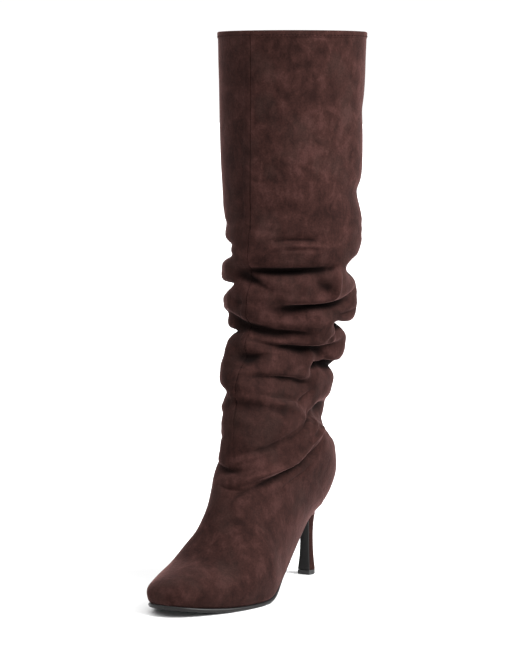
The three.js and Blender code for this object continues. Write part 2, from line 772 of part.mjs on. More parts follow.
function breastGeometry() {
  const bottom = topLiftHeight + clearance;
  const stem = heelSections.map((row) => heelLoop(row, bottom + row.up * (heelTop() - bottom), 0));
  const atSole = edgeHeight(heelBreast) - seatGap;
  const halfAtSole = ballWidth * outlineInner(heelBreast / footLength);
  const top = stem[0].slice(roundSteps + 1).map((_, i) => {
    const across = (2 * i) / flatSteps - 1;
    return new THREE.Vector3(flatShare * across * halfAtSole, heelSetback - heelBreast, atSole);
  });
  return closedLoops([...stem.map((loop) => loop.slice(roundSteps + 1)), top].map(breastLoop));
}

function topLiftGeometry() {
  const tip = heelSections[0];
  return closedLoops([heelLoop(tip, 0, 0), heelLoop(tip, topLiftHeight, 0)]);
}

// Materials
const suede = new THREE.MeshStandardMaterial({ color: 0x4a302a, roughness: 0.95, metalness: 0 });
const lining = new THREE.MeshStandardMaterial({ color: 0x6b5348, roughness: 0.8, metalness: 0 });
const soleRubber = new THREE.MeshStandardMaterial({ color: 0x161314, roughness: 0.45, metalness: 0 });
const liftRubber = new THREE.MeshStandardMaterial({ color: 0x0d0c0c, roughness: 0.7, metalness: 0 });

// The boot
const boot = new THREE.Group();

function addPiece(name, geometry, material) {
  const mesh = new THREE.Mesh(geometry, material);
  mesh.name = name;
  boot.add(mesh);
}

const outer = outerRings();
const inside = insideSolid(outer);

addPiece('upper', upperGeometry(outer), suede);
addPiece('insole', insoleGeometry(inside), lining);
addPiece('outsole', outsoleGeometry(outer), soleRubber);
addPiece('heel', heelGeometry(inside), suede);
addPiece('breast_cover', breastGeometry(), soleRubber);
addPiece('top_lift', topLiftGeometry(), liftRubber);

export default boot;
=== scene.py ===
"""A wearer's left knee-high boot in slouched suede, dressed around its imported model.

Lengths are in metres. The heel stands at the origin, the toe points to -Y, +Z is up and +X is the
outer side. "Along" runs from the rearmost bulge of the heel to the toe.
"""

import math

import bpy
import numpy as np
from bpy.props import FloatProperty, FloatVectorProperty, IntProperty, PointerProperty
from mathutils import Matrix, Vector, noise


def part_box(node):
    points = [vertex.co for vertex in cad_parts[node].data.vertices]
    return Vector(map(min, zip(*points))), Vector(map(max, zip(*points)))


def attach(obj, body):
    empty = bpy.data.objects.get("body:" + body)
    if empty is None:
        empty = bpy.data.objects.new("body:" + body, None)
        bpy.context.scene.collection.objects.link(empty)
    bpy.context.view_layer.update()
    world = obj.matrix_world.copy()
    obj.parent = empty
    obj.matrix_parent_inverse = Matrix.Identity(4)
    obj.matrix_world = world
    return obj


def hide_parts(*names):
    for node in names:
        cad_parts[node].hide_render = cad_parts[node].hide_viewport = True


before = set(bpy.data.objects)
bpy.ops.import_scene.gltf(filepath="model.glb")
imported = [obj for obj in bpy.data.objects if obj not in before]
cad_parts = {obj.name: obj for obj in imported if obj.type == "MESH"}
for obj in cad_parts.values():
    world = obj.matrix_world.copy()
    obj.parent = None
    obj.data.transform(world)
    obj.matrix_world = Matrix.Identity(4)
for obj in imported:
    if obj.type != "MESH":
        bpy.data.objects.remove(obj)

bl_info = {
    "name": "Slouched Knee-High Boot",
    "version": (1, 0, 0),
    "blender": (4, 5, 0),
    "location": "View3D > Sidebar > Boot",
    "description": "Builds a slouched suede boot with a slim heel, piece by piece",
    "category": "Object",
}

MILLIMETRE = 0.001


def table(columns, rows):
    """The columns of a table by their names, each as an array."""
    return dict(zip(columns.split(), np.array(rows, float).T))


# The bottom edge of the upper from heel to toe: shares of the foot's length, of the rise from the
# sole to the heel, and of the toe spring
EDGE_PROFILE = table("along rise spring", [
    (0, 1.02, 0),
    (0.047, 1, 0),
    (0.11, 0.965, 0),
    (0.18, 0.89, 0),
    (0.26, 0.73, 0),
    (0.34, 0.535, 0),
    (0.42, 0.335, 0),
    (0.5, 0.165, 0),
    (0.57, 0.05, 0),
    (0.63, 0, 0),
    (0.72, 0, 0),
    (0.8, 0, 0.11),
    (0.9, 0, 0.45),
    (1, 0, 1),
])

# The plan outline of that edge: half widths on the outer and inner side, as shares of the ball width
OUTLINE = table("along outer inner", [
    (0.047, 0, 0),
    (0.055, 0.04, 0.04),
    (0.07, 0.068, 0.068),
    (0.085, 0.088, 0.088),
    (0.11, 0.12, 0.12),
    (0.18, 0.175, 0.175),
    (0.26, 0.235, 0.215),
    (0.36, 0.3, 0.235),
    (0.46, 0.37, 0.25),
    (0.54, 0.43, 0.29),
    (0.6, 0.465, 0.345),
    (0.66, 0.475, 0.405),
    (0.72, 0.45, 0.45),
    (0.78, 0.41, 0.465),
    (0.84, 0.35, 0.44),
    (0.9, 0.27, 0.382),
    (0.95, 0.18, 0.32),
    (0.98, 0.1, 0.245),
    (0.995, 0, 0.15),
    (1, -0.05, 0.05),
])

# Sections of the foot from toe to ankle, each open at the bottom edge: back and front are shares of
# the length, lift of the instep height, outer and inner the swell as shares of the ball width, wide
# is where a section is widest and keel how straight it runs from there to the edge
FOOT_SECTIONS = table("back front lift outer inner wide keel rings", [
    (1, 1, 0.005, 0, 0, 0.5, 1, 1),
    (0.992, 0.9975, 0.075, 0.004, 0.004, 0.45, 1, 1),
    (0.972, 0.985, 0.135, 0.012, 0.008, 0.42, 1, 1),
    (0.93, 0.955, 0.197, 0.024, 0.012, 0.4, 1, 1),
    (0.865, 0.895, 0.268, 0.034, 0.014, 0.38, 1, 2),
    (0.775, 0.813, 0.362, 0.04, 0.024, 0.36, 1, 2),
    (0.68, 0.747, 0.515, 0.044, 0.038, 0.34, 1, 2),
    (0.58, 0.698, 0.67, 0.05, 0.06, 0.34, 1, 2),
    (0.47, 0.662, 0.82, 0.07, 0.112, 0.36, 1, 2),
    (0.36, 0.636, 0.935, 0.112, 0.154, 0.42, 1, 2),
    (0.26, 0.616, 1.04, 0.17, 0.203, 0.46, 0.9, 1),
    (0.18, 0.603, 1.145, 0.228, 0.252, 0.48, 0.7, 1),
    (0.11, 0.596, 1.235, 0.288, 0.3, 0.49, 0.55, 1),
    (0.07, 0.593, 1.295, 0.35, 0.346, 0.5, 0.4, 1),
    (0.047, 0.591, 1.34, 0.418, 0.4, 0.5, 0.3, 1),
])

# Closed sections from the heel's bulge to the collar: back and front are shares of the foot's length,
# the heights of the shaft, and outer, inner and shift of the collar's width
LEG_SECTIONS = table("back back_up front front_up outer inner keel shift rings", [
    (0.008, 0.028, 0.59, 0.24, 0.292, 0.276, 0.12, 0, 2),
    (-0.014, 0.066, 0.588, 0.262, 0.303, 0.294, 0.03, 0, 2),
    (-0.013, 0.11, 0.583, 0.287, 0.288, 0.315, 0, 0, 3),
    (0.024, 0.155, 0.574, 0.312, 0.237, 0.326, 0, 0, 3),
    (0.036, 0.205, 0.557, 0.34, 0.264, 0.322, 0, 0, 4),
    (0.027, 0.26, 0.538, 0.375, 0.324, 0.31, 0, 0, 5),
    (0.008, 0.33, 0.516, 0.425, 0.412, 0.325, 0, -0.008, 6),
    (-0.018, 0.41, 0.503, 0.48, 0.48, 0.387, 0, -0.008, 7),
    (-0.038, 0.5, 0.49, 0.55, 0.483, 0.412, 0, -0.009, 6),
    (-0.054, 0.6, 0.474, 0.64, 0.482, 0.412, 0, -0.009, 4),
    (-0.062, 0.71, 0.47, 0.74, 0.477, 0.428, 0, -0.009, 2),
    (-0.062, 0.82, 0.467, 0.84, 0.488, 0.438, 0, -0.009, 2),
    (-0.062, 0.92, 0.467, 0.93, 0.499, 0.446, 0, -0.009, 2),
    (-0.062, 1, 0.467, 1, 0.505, 0.456, 0, -0.009, 0),
])

# The main creases from the top down: up, tilt and bow are shares of the shaft, angle and span
# degrees round the leg, depth and width shares of the crease sizes, and sag of the crease's depth
CREASES = table("up angle span depth width tilt bow sag", [
    (0.841, 122, 50, 0.15, 2.5, 0, 0, 0),
    (0.673, 118, 55, 0.55, 2.5, 0, 0, 0.1),
    (0.669, -120, 60, 0.3, 2.8, 0, 0, 0.1),
    (0.64, 10, 45, 0.2, 1.85, 0.022, 0, 0.1),
    (0.61, -62, 50, 0.4, 1.7, 0, 0, 0.2),
    (0.57, -66, 56, 1, 0.85, 0, 0, 0.1),
    (0.549, -66, 56, 1, 0.85, 0, 0, 0.1),
    (0.527, 180, 44, 0.7, 1.08, 0, 0, 0.3),
    (0.525, 32, 56, 1.25, 1.2, 0, -0.004, 0.35),
    (0.524, 128, 48, 1.7, 1.6, 0.007, 0, 0.06),
    (0.493, -100, 58, 0.8, 1.08, 0, 0, 0.35),
    (0.501, 2, 30, 0.7, 1.1, -0.068, 0, 0),
    (0.482, -66, 60, 1.7, 0.95, 0.01, 0.008, 0.2),
    (0.463, 182, 44, 0.7, 1.08, 0, 0, 0.3),
    (0.449, 59, 60, 1.7, 1.6, 0.004, 0.007, 0.35),
    (0.434, -95, 65, 0.9, 1, -0.018, 0, 0.4),
    (0.4095, 16, 68, 1.4, 1.5, -0.037, 0, 0.35),
    (0.4, 130, 52, 2.5, 1, 0.007, 0.01, 0.18),
    (0.397, -132, 48, 1.5, 1.08, 0, 0.007, 0.3),
    (0.392, -48, 50, 1.1, 0.92, 0.009, 0.007, 0.25),
    (0.377, -62, 30, 0.4, 0.85, 0, 0, 0.4),
    (0.354, 64, 62, 1.45, 1.5, -0.014, 0.024, 0.35),
    (0.36, 180, 40, 0.8, 1, 0, 0, 0.3),
    (0.356, 8, 34, 0.55, 1.3, -0.045, 0, 0.4),
    (0.355, -88, 68, 0.65, 0.92, -0.007, 0, 0.4),
    (0.321, -130, 50, 1.4, 1.08, 0, -0.007, 0.25),
    (0.316, 118, 48, 1.8, 1.08, -0.009, -0.005, 0.22),
    (0.299, 46, 55, 0.8, 1, -0.029, 0, 0.4),
    (0.287, -78, 56, 0.8, 0.92, 0, 0.005, 0.4),
    (0.279, 184, 42, 0.7, 1, 0, 0, 0.3),
    (0.272, -52, 50, 1.2, 1.35, 0, 0.005, 0.2),
    (0.248, 18, 48, 0.5, 1.35, -0.049, -0.007, 0.2),
    (0.245, -132, 48, 0.9, 1.23, 0, 0, 0.25),
    (0.23, 140, 32, 0.6, 1.38, 0, 0, 0.2),
    (0.228, -45, 34, 0.4, 0.92, 0, 0, 0.3),
    (0.221, 92, 56, 0.28, 0.8, 0.029, 0, 0.3),
    (0.199, 180, 46, 0.5, 1.38, 0, 0, 0.2),
    (0.167, 26, 32, 0.35, 0.92, 0.066, 0, 0.3),
    (0.167, -55, 42, 0.5, 1.08, 0, 0, 0.3),
    (0.164, -92, 62, 0.7, 1.08, -0.075, 0, 0.35),
    (0.132, 48, 46, -0.3, 1, 0.066, 0.005, 0),
    (0.125, -8, 32, 0.5, 0.92, -0.013, 0, 0.4),
    (0.115, 54, 62, 0.5, 1, 0.088, 0.005, 0.25),
    (0.113, -78, 48, 0.5, 1, -0.066, 0, 0.35),
])

# Sections of the heel from the top lift up: width is a share of the tip's width, back and front of
# the tip's length, and hollow how far the flat front is drawn in, as a share of its width
HEEL_SECTIONS = table("up width back front hollow", [
    (0, 1, 0.6, 0.5, 0.02),
    (0.08, 0.94, 0.56, 0.47, 0.03),
    (0.22, 0.84, 0.49, 0.42, 0.05),
    (0.4, 0.77, 0.44, 0.39, 0.07),
    (0.58, 0.745, 0.44, 0.39, 0.08),
    (0.72, 0.77, 0.48, 0.42, 0.08),
    (0.84, 0.86, 0.55, 0.52, 0.06),
    (0.93, 0.99, 0.61, 0.68, 0.04),
])

# Finer creases and ridges between the main ones, in the same columns. A negative depth is a ridge
FINE_CREASES = table("up angle span depth width tilt bow sag", [
    (0.583, 36, 26, 0.3, 0.6, 0, -0.006, 0.1),
    (0.5705, 42, 30, -0.26, 0.32, 0, -0.005, 0),
    (0.566, 40, 22, 0.14, 0.24, 0, -0.004, 0),
    (0.5615, 40, 18, -0.22, 0.28, 0, -0.003, 0),
    (0.59, 62, 24, 0.1, 0.6, 0.06, 0, 0.1),
    (0.604, 8, 22, 0.12, 0.7, -0.03, 0, 0.1),
    (0.482, 50, 28, 0.3, 1, 0, 0, 0),
    (0.496, 64, 15, 0.6, 1.1, -0.06, 0, 0),
    (0.47, 98, 20, 0.2, 0.42, 0.03, 0, 0.2),
    (0.461, -10, 14, 0.4, 0.9, 0, 0, 0.2),
    (0.434, 40, 26, 0.16, 0.46, -0.05, 0, 0.3),
    (0.428, 100, 24, 0.3, 0.44, 0.04, 0, 0.2),
    (0.399, 44, 24, 0.26, 0.4, -0.03, 0, 0.3),
    (0.39, 98, 22, 0.34, 0.46, 0.06, 0, 0.3),
    (0.381, 20, 26, 0.24, 0.42, -0.06, 0, 0.3),
    (0.35, 4, 20, 0.65, 1.6, -0.02, 0, 0.1),
    (0.252, 42, 22, -0.22, 0.28, -0.02, 0, 0),
    (0.34, 96, 24, 0.34, 0.46, -0.05, 0, 0.3),
    (0.32, 90, 12, 0.9, 0.7, 0, 0, 0.3),
    (0.299, 46, 50, -0.26, 0.8, -0.029, 0, 0),
    (0.56, -68, 56, 0.55, 1.3, 0, 0, 0),
    (0.285, 72, 26, 0.26, 0.44, -0.03, 0, 0.3),
    (0.268, 34, 26, 0.2, 0.42, -0.05, 0, 0.2),
    (0.258, 78, 28, 0.22, 0.46, 0.05, 0, 0.2),
    (0.205, 66, 30, 0.26, 0.5, 0.11, 0, 0.2),
    (0.192, 44, 26, 0.18, 0.46, 0.08, 0, 0.2),
    (0.178, 92, 40, -0.34, 0.4, 0.055, 0, 0),
    (0.196, 86, 20, -0.26, 0.34, 0.11, 0, 0),
    (0.118, 36, 34, -0.3, 0.55, 0.06, 0, 0),
    (0.15, 74, 24, 0.2, 0.5, 0.14, 0, 0.2),
    (0.142, 18, 20, 0.16, 0.44, 0.04, 0, 0.2),
    (0.104, 30, 22, 0.2, 0.46, 0.06, 0, 0.2),
    (0.098, 72, 26, 0.16, 0.46, 0.12, 0, 0.1),
    (0.09, 2, 24, 0.22, 0.46, -0.02, 0, 0.2),
    (0.515, -84, 30, 0.24, 0.44, 0.02, 0, 0.2),
    (0.47, -70, 30, 0.26, 0.44, 0.04, 0, 0.3),
    (0.455, -124, 26, 0.3, 0.46, -0.02, 0, 0.3),
    (0.42, -70, 28, 0.26, 0.44, -0.03, 0, 0.3),
    (0.374, -104, 30, 0.26, 0.44, 0.02, 0, 0.3),
    (0.338, -62, 26, 0.26, 0.44, 0.03, 0, 0.3),
    (0.305, -100, 30, 0.26, 0.44, -0.03, 0, 0.3),
    (0.262, -92, 30, 0.24, 0.46, -0.04, 0, 0.2),
    (0.215, -88, 30, 0.24, 0.5, -0.08, 0, 0.2),
    (0.19, -60, 26, 0.2, 0.46, -0.05, 0, 0.2),
    (0.14, -70, 30, 0.22, 0.5, -0.08, 0, 0.2),
    (0.492, 160, 26, 0.26, 0.46, 0.01, 0, 0.2),
    (0.446, 156, 26, 0.26, 0.46, -0.02, 0, 0.3),
    (0.43, 200, 26, 0.26, 0.46, 0.02, 0, 0.3),
    (0.386, 166, 26, 0.28, 0.46, 0.02, 0, 0.3),
    (0.335, 200, 26, 0.28, 0.46, -0.02, 0, 0.3),
    (0.305, 160, 26, 0.26, 0.46, 0.01, 0, 0.2),
])

# Upright pinches, where the suede is gathered between two creases: up is the middle height, reach the
# half height, both as shares of the shaft, angle and spread degrees, and lift a share of crease depth
PINCHES = table("up reach angle spread lift", [
    (0.497, 0.042, 76, 3, 0.42),
    (0.382, 0.03, 92, 4.5, 0.16),
    (0.345, 0.026, 76, 4.5, 0.14),
])

# The suede's bottom edge, turned in under the foot: millimetres inward and down from the edge
LASTING = table("reach drop", [
    (0.4, 0.15),
    (1.1, 0.45),
    (2.1, 1.05),
    (3.6, 1.15),
])

# The sole's rounded edge from its top down: millimetres in from its outline and shares of its thickness
SOLE_EDGE = table("inset drop", [
    (0.6, 0),
    (0.1, 0.16),
    (-0.2, 0.36),
    (-0.1, 0.58),
    (0.4, 0.8),
    (1.2, 1),
])

# Above this share of the shaft the leg is smooth, and its rings stand this much further apart. A
# length at the back of the leg counts for this share of one at the front
SMOOTH_FROM = 0.68
SMOOTH_SPACING = 1.9
SPACING_BEHIND = 0.6

# Millimetres below the collar at which the turned hem has its rings
HEM_RINGS = (7, 6, 5.5, 5.1, 4.7, 4.2, 3.6, 3, 2.2, 1.5, 0.9)

# Millimetres from the front seam, and from the back seam, at which the suede has its columns
FRONT_COLUMNS = (0, 0.35, 0.7, 1.2, 2, 3, 4.2, 5.2, 6, 6.8, 7.8)
BACK_COLUMNS = (4.4, 3.4, 2.4, 1.5, 0.9, 0.45, 0)

# The profile of a crease, in its widths: how far it reaches up and down, how it fades at its ends,
# where it stops, how wide the sharp line in its bottom is, and how far the roll over it hangs
REACH_OVER = 0.75
REACH_UNDER = 1.15
CREASE_FADE = 1.5
RIM_DEPTH = 0.01
LINE_WIDTH = 0.3
ROLL_REACH = 0.9

# The seams and the hem, in millimetres: the raised allowance, the groove along the stitches, and
# where each starts and ends
FRONT_RAISE = 0.40
FRONT_EDGE = (0.1, 0.7)
FRONT_ALLOWANCE = (5.6, 7.0)
FRONT_GROOVE = (0.75, 0.60)
BACK_RAISE = 0.22
BACK_ALLOWANCE = (3.2, 4.4)
BACK_GROOVE = (0.6, 0.5)
HEM_RAISE = 0.5
HEM_EDGE = (5.3, 4.6)
HEM_STITCH_LINE = 3.6
HEM_GROOVE = (0.18, 0.5)
TUCK = (0.8, 3.5)

# Where the front seam, the folds and the looser suede set in and end, as shares of the shaft
SEAM_START = (0.14, 0.25)
FOLDS_START = (0.12, 0.2)
FOLDS_END = (0.58, 0.72)
LOOSE_START = (0.45, 0.62)
LOOSE_END = (0.93, 1.0)

# Soft dents of the loose suede and small puckers between the creases: waves to a metre round and up
# the leg, and depth as a share of the crease depth. The last is the dents' share where nothing is loose
DENTS = (22, 14, 0.12)
PUCKERS = (55, 150, 0.085)
LEAST_LOOSE = 0.25

# Radii in metres for telling crests and folds from what is round them, the height of a full crest,
# how much of a crest the seams make, and the share of the crease depth that makes a full fold. The
# suede's colour is given a painted highlight on the crests and painted shade in the folds from these
CREST_RADIUS = 0.006
FOLD_RADIUS = 0.020
NEAR_RADIUS = 0.0015
CREST_HEIGHT = 0.0022
SEAM_CREST = 1.8
FULL_FOLD = 0.45

# The photograph and its camera in pixels, the boot's middle in it, and the place it looks at
PHOTO_WIDTH = 513
PHOTO_HEIGHT = 655
SENSOR = 36.0
FOCAL_PIXELS = 1905.0
PRINCIPAL = (339.4, 340.5)
BOOT_CENTRE = (318.5, 338.0)
TARGET_Y = -0.04

# Lights: azimuth from the toe towards the outer side, elevation and spread in degrees
LIGHTS = (
    ("key light", 98, 38, 40),
    ("back light", 205, 35, 60),
    ("top light", 3, 60, 70),
)

# The studio's walls: how bright they are, and where they end, as heights of a direction
WALL_BRIGHTNESS = 1.05
WALL_END = (0.17, 0.30)

# Half the way round the leg, in collar widths
HALF_ROUND = 1.5

# The colour of dust in the scuffs of the sole and of the top lift
SCUFFED_SOLE = (0.16, 0.15, 0.145)
SCUFFED_LIFT = (0.10, 0.095, 0.09)


def curve(x, y):
    """A smooth curve through the rows of y at the places x, without overshoot."""
    y = np.asarray(y, float).reshape(len(x), -1)
    step = np.diff(x)[:, None]
    slope = np.diff(y, axis=0) / step
    before = 2 * step[1:] + step[:-1]
    after = step[1:] + 2 * step[:-1]
    turning = slope[:-1] * slope[1:] <= 0
    left = np.where(turning, 1, slope[:-1])
    right = np.where(turning, 1, slope[1:])
    middle = np.where(turning, 0, (before + after) / (before / left + after / right))
    tangent = np.vstack([slope[:1], middle, slope[-1:]])

    def at(place):
        place = np.clip(np.atleast_1d(place), x[0], x[-1])
        i = np.clip(np.searchsorted(x, place, side="right") - 1, 0, len(x) - 2)
        t = ((place - x[i]) / step[i, 0])[:, None]
        rise = t * t * (3 - 2 * t)
        leaving = step[i] * tangent[i] * t * (1 - t) ** 2
        arriving = step[i] * tangent[i + 1] * t * t * (t - 1)
        return y[i] * (1 - rise) + y[i + 1] * rise + leaving + arriving

    return at


def smoothstep(value, low, high):
    """A smooth rise from 0 at low to 1 at high."""
    t = np.clip((value - low) / (high - low), 0, 1)
    return t * t * (3 - 2 * t)


def bell(value):
    """A bell curve, 1 at 0."""
    return np.exp(-(value ** 2))


def grid_normals(rings):
    """Mean normals of a grid of points, pointing out of the boot."""
    normals = np.zeros_like(rings)
    faces = np.cross(rings[1:, 1:] - rings[:-1, :-1], rings[1:, :-1] - rings[:-1, 1:])
    normals[:-1, :-1] += faces
    normals[:-1, 1:] += faces
    normals[1:, :-1] += faces
    normals[1:, 1:] += faces
    closed = np.linalg.norm(rings[:, 0] - rings[:, -1], axis=1) < 1e-9
    normals[closed, 0] += normals[closed, -1]
    normals[closed, -1] = normals[closed, 0]
    return normals / np.maximum(np.linalg.norm(normals, axis=2, keepdims=True), 1e-12)


def local_mean(values, place, radius):
    """The mean of each row of values over a radius along the row's own places."""
    steps = np.diff(place, axis=1)
    totals = np.cumsum((values[:, 1:] + values[:, :-1]) / 2 * steps, axis=1)
    totals = np.hstack([np.zeros((len(values), 1)), totals])
    means = np.empty_like(values)
    for mean, total, at in zip(means, totals, place):
        low = np.clip(at - radius, at[0], None)
        high = np.clip(at + radius, None, at[-1])
        mean[:] = (np.interp(high, at, total) - np.interp(low, at, total)) / (high - low)
    return means


def surroundings(values, grid, radius):
    """The mean of a grid's values within a radius, up and down and round the boot."""
    def travelled(points):
        steps = np.linalg.norm(np.diff(points, axis=1), axis=2) + 1e-9
        return np.hstack([np.zeros((len(points), 1)), np.cumsum(steps, axis=1)])

    upright = local_mean(values.T, travelled(grid.transpose(1, 0, 2)), radius).T
    return local_mean(upright, travelled(grid), radius)


class BootForm:
    """The boot's shape, worked out from its sizes and the tables."""

    def __init__(self, sizes, folds):
        self.foot = sizes.foot_length
        self.ball = sizes.ball_width
        self.instep = sizes.instep_height
        self.heel = sizes.heel_height
        self.top = sizes.boot_height
        self.collar = sizes.collar_width
        self.spring = sizes.toe_spring
        self.wall = sizes.wall
        self.sole = sizes.sole_thickness
        self.waist = sizes.waist_thickness
        self.gap = sizes.clearance
        self.setback = sizes.heel_setback
        self.breast = sizes.heel_breast
        self.tip_width = sizes.heel_tip_width
        self.tip_length = sizes.heel_tip_length
        self.lift = sizes.top_lift_height
        self.folds = folds
        self.shaft = self.top - self.heel
        self.edge_rise = curve(EDGE_PROFILE["along"], EDGE_PROFILE["rise"])
        self.edge_spring = curve(EDGE_PROFILE["along"], EDGE_PROFILE["spring"])
        self.outline = curve(OUTLINE["along"], np.array([OUTLINE["outer"], OUTLINE["inner"]]).T)
        self.rows = self.section_rows()
        self.row_curve = curve(np.arange(len(self.rows)), self.rows)

    def edge_height(self, along):
        """Height of the suede's bottom edge."""
        share = np.atleast_1d(along) / self.foot
        rise = self.edge_rise(share)[:, 0]
        spring = self.edge_spring(share)[:, 0]
        return self.sole + (self.heel - self.sole) * rise + self.spring * spring

    def section_rows(self):
        """The foot's sections and then the leg's: back, back up, front, front up, outer, inner, outer
        edge, inner edge, wide, keel and shift."""
        foot, leg = FOOT_SECTIONS, LEG_SECTIONS
        back = foot["back"] * self.foot
        front = foot["front"] * self.foot
        edges = self.ball * self.outline(foot["back"])
        foot_rows = np.stack([
            back,
            self.edge_height(back),
            front,
            self.edge_height(front) + foot["lift"] * self.instep,
            edges[:, 0] + foot["outer"] * self.ball,
            edges[:, 1] + foot["inner"] * self.ball,
            edges[:, 0],
            edges[:, 1],
            foot["wide"],
            foot["keel"],
            0 * back,
        ], axis=1)
        none = 0 * leg["back"]
        leg_rows = np.stack([
            leg["back"] * self.foot,
            self.heel + leg["back_up"] * self.shaft,
            leg["front"] * self.foot,
            self.heel + leg["front_up"] * self.shaft,
            leg["outer"] * self.collar,
            leg["inner"] * self.collar,
            none,
            none,
            none + 0.5,
            leg["keel"],
            leg["shift"] * self.collar,
        ], axis=1)
        return np.vstack([foot_rows, leg_rows])

    def sections(self, levels):
        """Sections at the levels. An open one starts on the bottom edge's own profile and outline."""
        sections = self.row_curve(levels)
        is_open = levels < len(FOOT_SECTIONS["back"]) - 1
        back = sections[is_open, 0]
        sections[is_open, 1] = self.edge_height(back)
        sections[is_open, 6:8] = self.ball * self.outline(back / self.foot)
        return sections

    def levels(self, spacing):
        """Levels of the rings, closer together where the shaft is creased and at the hem."""
        levels = []
        for i, (row, above) in enumerate(zip(self.rows[:-1], self.rows[1:])):
            front = np.hypot(above[2] - row[2], above[3] - row[3])
            back = np.hypot(above[0] - row[0], above[1] - row[1])
            smooth = row[1] > self.heel + SMOOTH_FROM * self.shaft
            length = max(front, SPACING_BEHIND * back) / (SMOOTH_SPACING if smooth else 1)
            levels.append(np.arange(0, 1, 1 / max(math.ceil(length / spacing), 1)) + i)
        levels = np.concatenate(levels)
        top = len(self.rows) - 1
        rise = self.rows[top, 1] - self.rows[top - 1, 1]
        hem = top - np.array(HEM_RINGS) * MILLIMETRE / rise
        return np.concatenate([levels[levels < hem[0]], hem])

    def rings(self, sections, shares):
        """Rings of points: the inner side from the edge up to the front, then the outer side down."""
        samples = 96
        turn = np.linspace(0, math.pi / 2, samples + 1)[None, :]
        part = np.linspace(0, 1, samples + 1)[None, 1:]
        back, back_up, front, front_up = sections[:, 0:4].T
        wide, keel, shift = sections[:, 8:11].T[:, :, None]
        length = np.hypot(front - back, front_up - back_up)[:, None]
        lean = np.stack([-(front - back), front_up - back_up], axis=1) / length
        sides = []
        for widest, edge in ((sections[:, 5:6], sections[:, 7:8]), (sections[:, 4:5], sections[:, 6:7])):
            ahead = length * (wide + (1 - wide) * np.cos(turn))
            down = keel * part + (1 - keel) * np.sin(turn[:, 1:])
            below = length * wide * (1 - down)
            out = np.hstack([widest * np.sin(turn), edge + (widest - edge) * np.cos(turn[:, 1:])])
            run = np.hstack([ahead, below])
            reach = np.hypot(np.diff(run), np.diff(out)).cumsum(axis=1)
            reach = np.hstack([0 * reach[:, :1], reach])
            points = np.zeros((len(sections), len(shares), 4))
            for i in range(len(sections)):
                wanted = shares * reach[i, -1]
                from_back = np.interp(wanted, reach[i], run[i])
                points[i, :, 0] = np.interp(wanted, reach[i], out[i])
                points[i, :, 1] = self.setback - back[i] + lean[i, 0] * from_back
                points[i, :, 2] = back_up[i] + lean[i, 1] * from_back
                points[i, :, 3] = wanted
            sides.append(points)
        inner, outer = sides
        inner[:, :, 0] *= -1
        inner[:, :, 3] *= -1
        grid = np.concatenate([inner[:, ::-1], outer[:, 1:]], axis=1)
        grid[:, :, 0] += shift
        return grid[:, :, :3], grid[:, :, 3]

    def angles(self, sections, rings):
        """Degrees round the leg from the front towards the outer side."""
        back, back_up, front, front_up = sections[:, 0:4].T[:, :, None]
        run = front - back
        rise = front_up - back_up
        along = self.setback - rings[:, :, 1] - (front + back) / 2
        up = rings[:, :, 2] - (front_up + back_up) / 2
        ahead = (along * run + up * rise) / np.hypot(run, rise)
        return np.degrees(np.arctan2(rings[:, :, 0] - sections[:, 10:11], ahead))

    def creased(self, angle, height, rows):
        """How far points are pressed in by a table's creases, and how far they hang down."""
        press = np.zeros_like(height)
        hang = np.zeros_like(height)
        for up, middle, span, depth, width, tilt, bow, sag in zip(*rows.values()):
            turn = (angle - middle + 180) % 360 - 180
            share = turn / span
            fade = np.clip(1 - share * share, 0, None) ** CREASE_FADE
            line = up + tilt * (turn / 90) + bow * share * share
            over = height - self.heel - line * self.shaft
            wide = width * self.folds.crease_width
            deep = depth * self.folds.crease_depth * fade
            t = over / (wide * np.where(over > 0, REACH_OVER, REACH_UNDER))
            press += deep * np.clip((1 + t * t) ** -1.5 - RIM_DEPTH, 0, None)
            crisp = self.folds.crispness * min(1, width ** -2)
            press += crisp * np.clip(deep, 0, None) * bell(over / (LINE_WIDTH * wide))
            hang += np.clip(deep * sag, 0, None) * bell((over / wide - 1) / ROLL_REACH)
        return press, hang

    def pinched(self, angle, height):
        """How far points are lifted where the suede is gathered between two creases."""
        lift = np.zeros_like(height)
        for up, reach, middle, spread, rise in zip(*PINCHES.values()):
            turn = (angle - middle + 180) % 360 - 180
            over = (height - self.heel - up * self.shaft) / (reach * self.shaft)
            fade = np.clip(1 - over * over, 0, None) ** 2
            lift += rise * self.folds.crease_depth * fade * bell(turn / spread)
        return lift

    def seams(self, reach, height, sections):
        """The raised allowance beside the front seam, the stitched lines and the turned hem."""
        millimetres = reach / MILLIMETRE
        on_shaft = smoothstep((height - self.heel) / self.shaft, *SEAM_START)
        band = smoothstep(-millimetres, *FRONT_EDGE) * (1 - smoothstep(-millimetres, *FRONT_ALLOWANCE))
        front = FRONT_RAISE * band - FRONT_GROOVE[0] * bell(millimetres / FRONT_GROOVE[1])
        inner_end = millimetres.min(axis=1, keepdims=True)
        outer_end = millimetres.max(axis=1, keepdims=True)
        from_back = np.minimum(outer_end - millimetres, millimetres - inner_end)
        closed = sections[:, 6:7] < 1e-9
        back = BACK_RAISE * (1 - smoothstep(from_back, *BACK_ALLOWANCE))
        back = back - BACK_GROOVE[0] * bell(from_back / BACK_GROOVE[1])
        below = (self.top - height) / MILLIMETRE
        hem = HEM_RAISE * smoothstep(-below, -HEM_EDGE[0], -HEM_EDGE[1])
        stitched = -HEM_GROOVE[0] * bell((below - HEM_STITCH_LINE) / HEM_GROOVE[1])
        tucked = -TUCK[0] * np.clip(1 - from_back / TUCK[1], 0, 1) ** 2
        return MILLIMETRE * (front * on_shaft + np.where(closed, back, tucked) + hem + stitched)

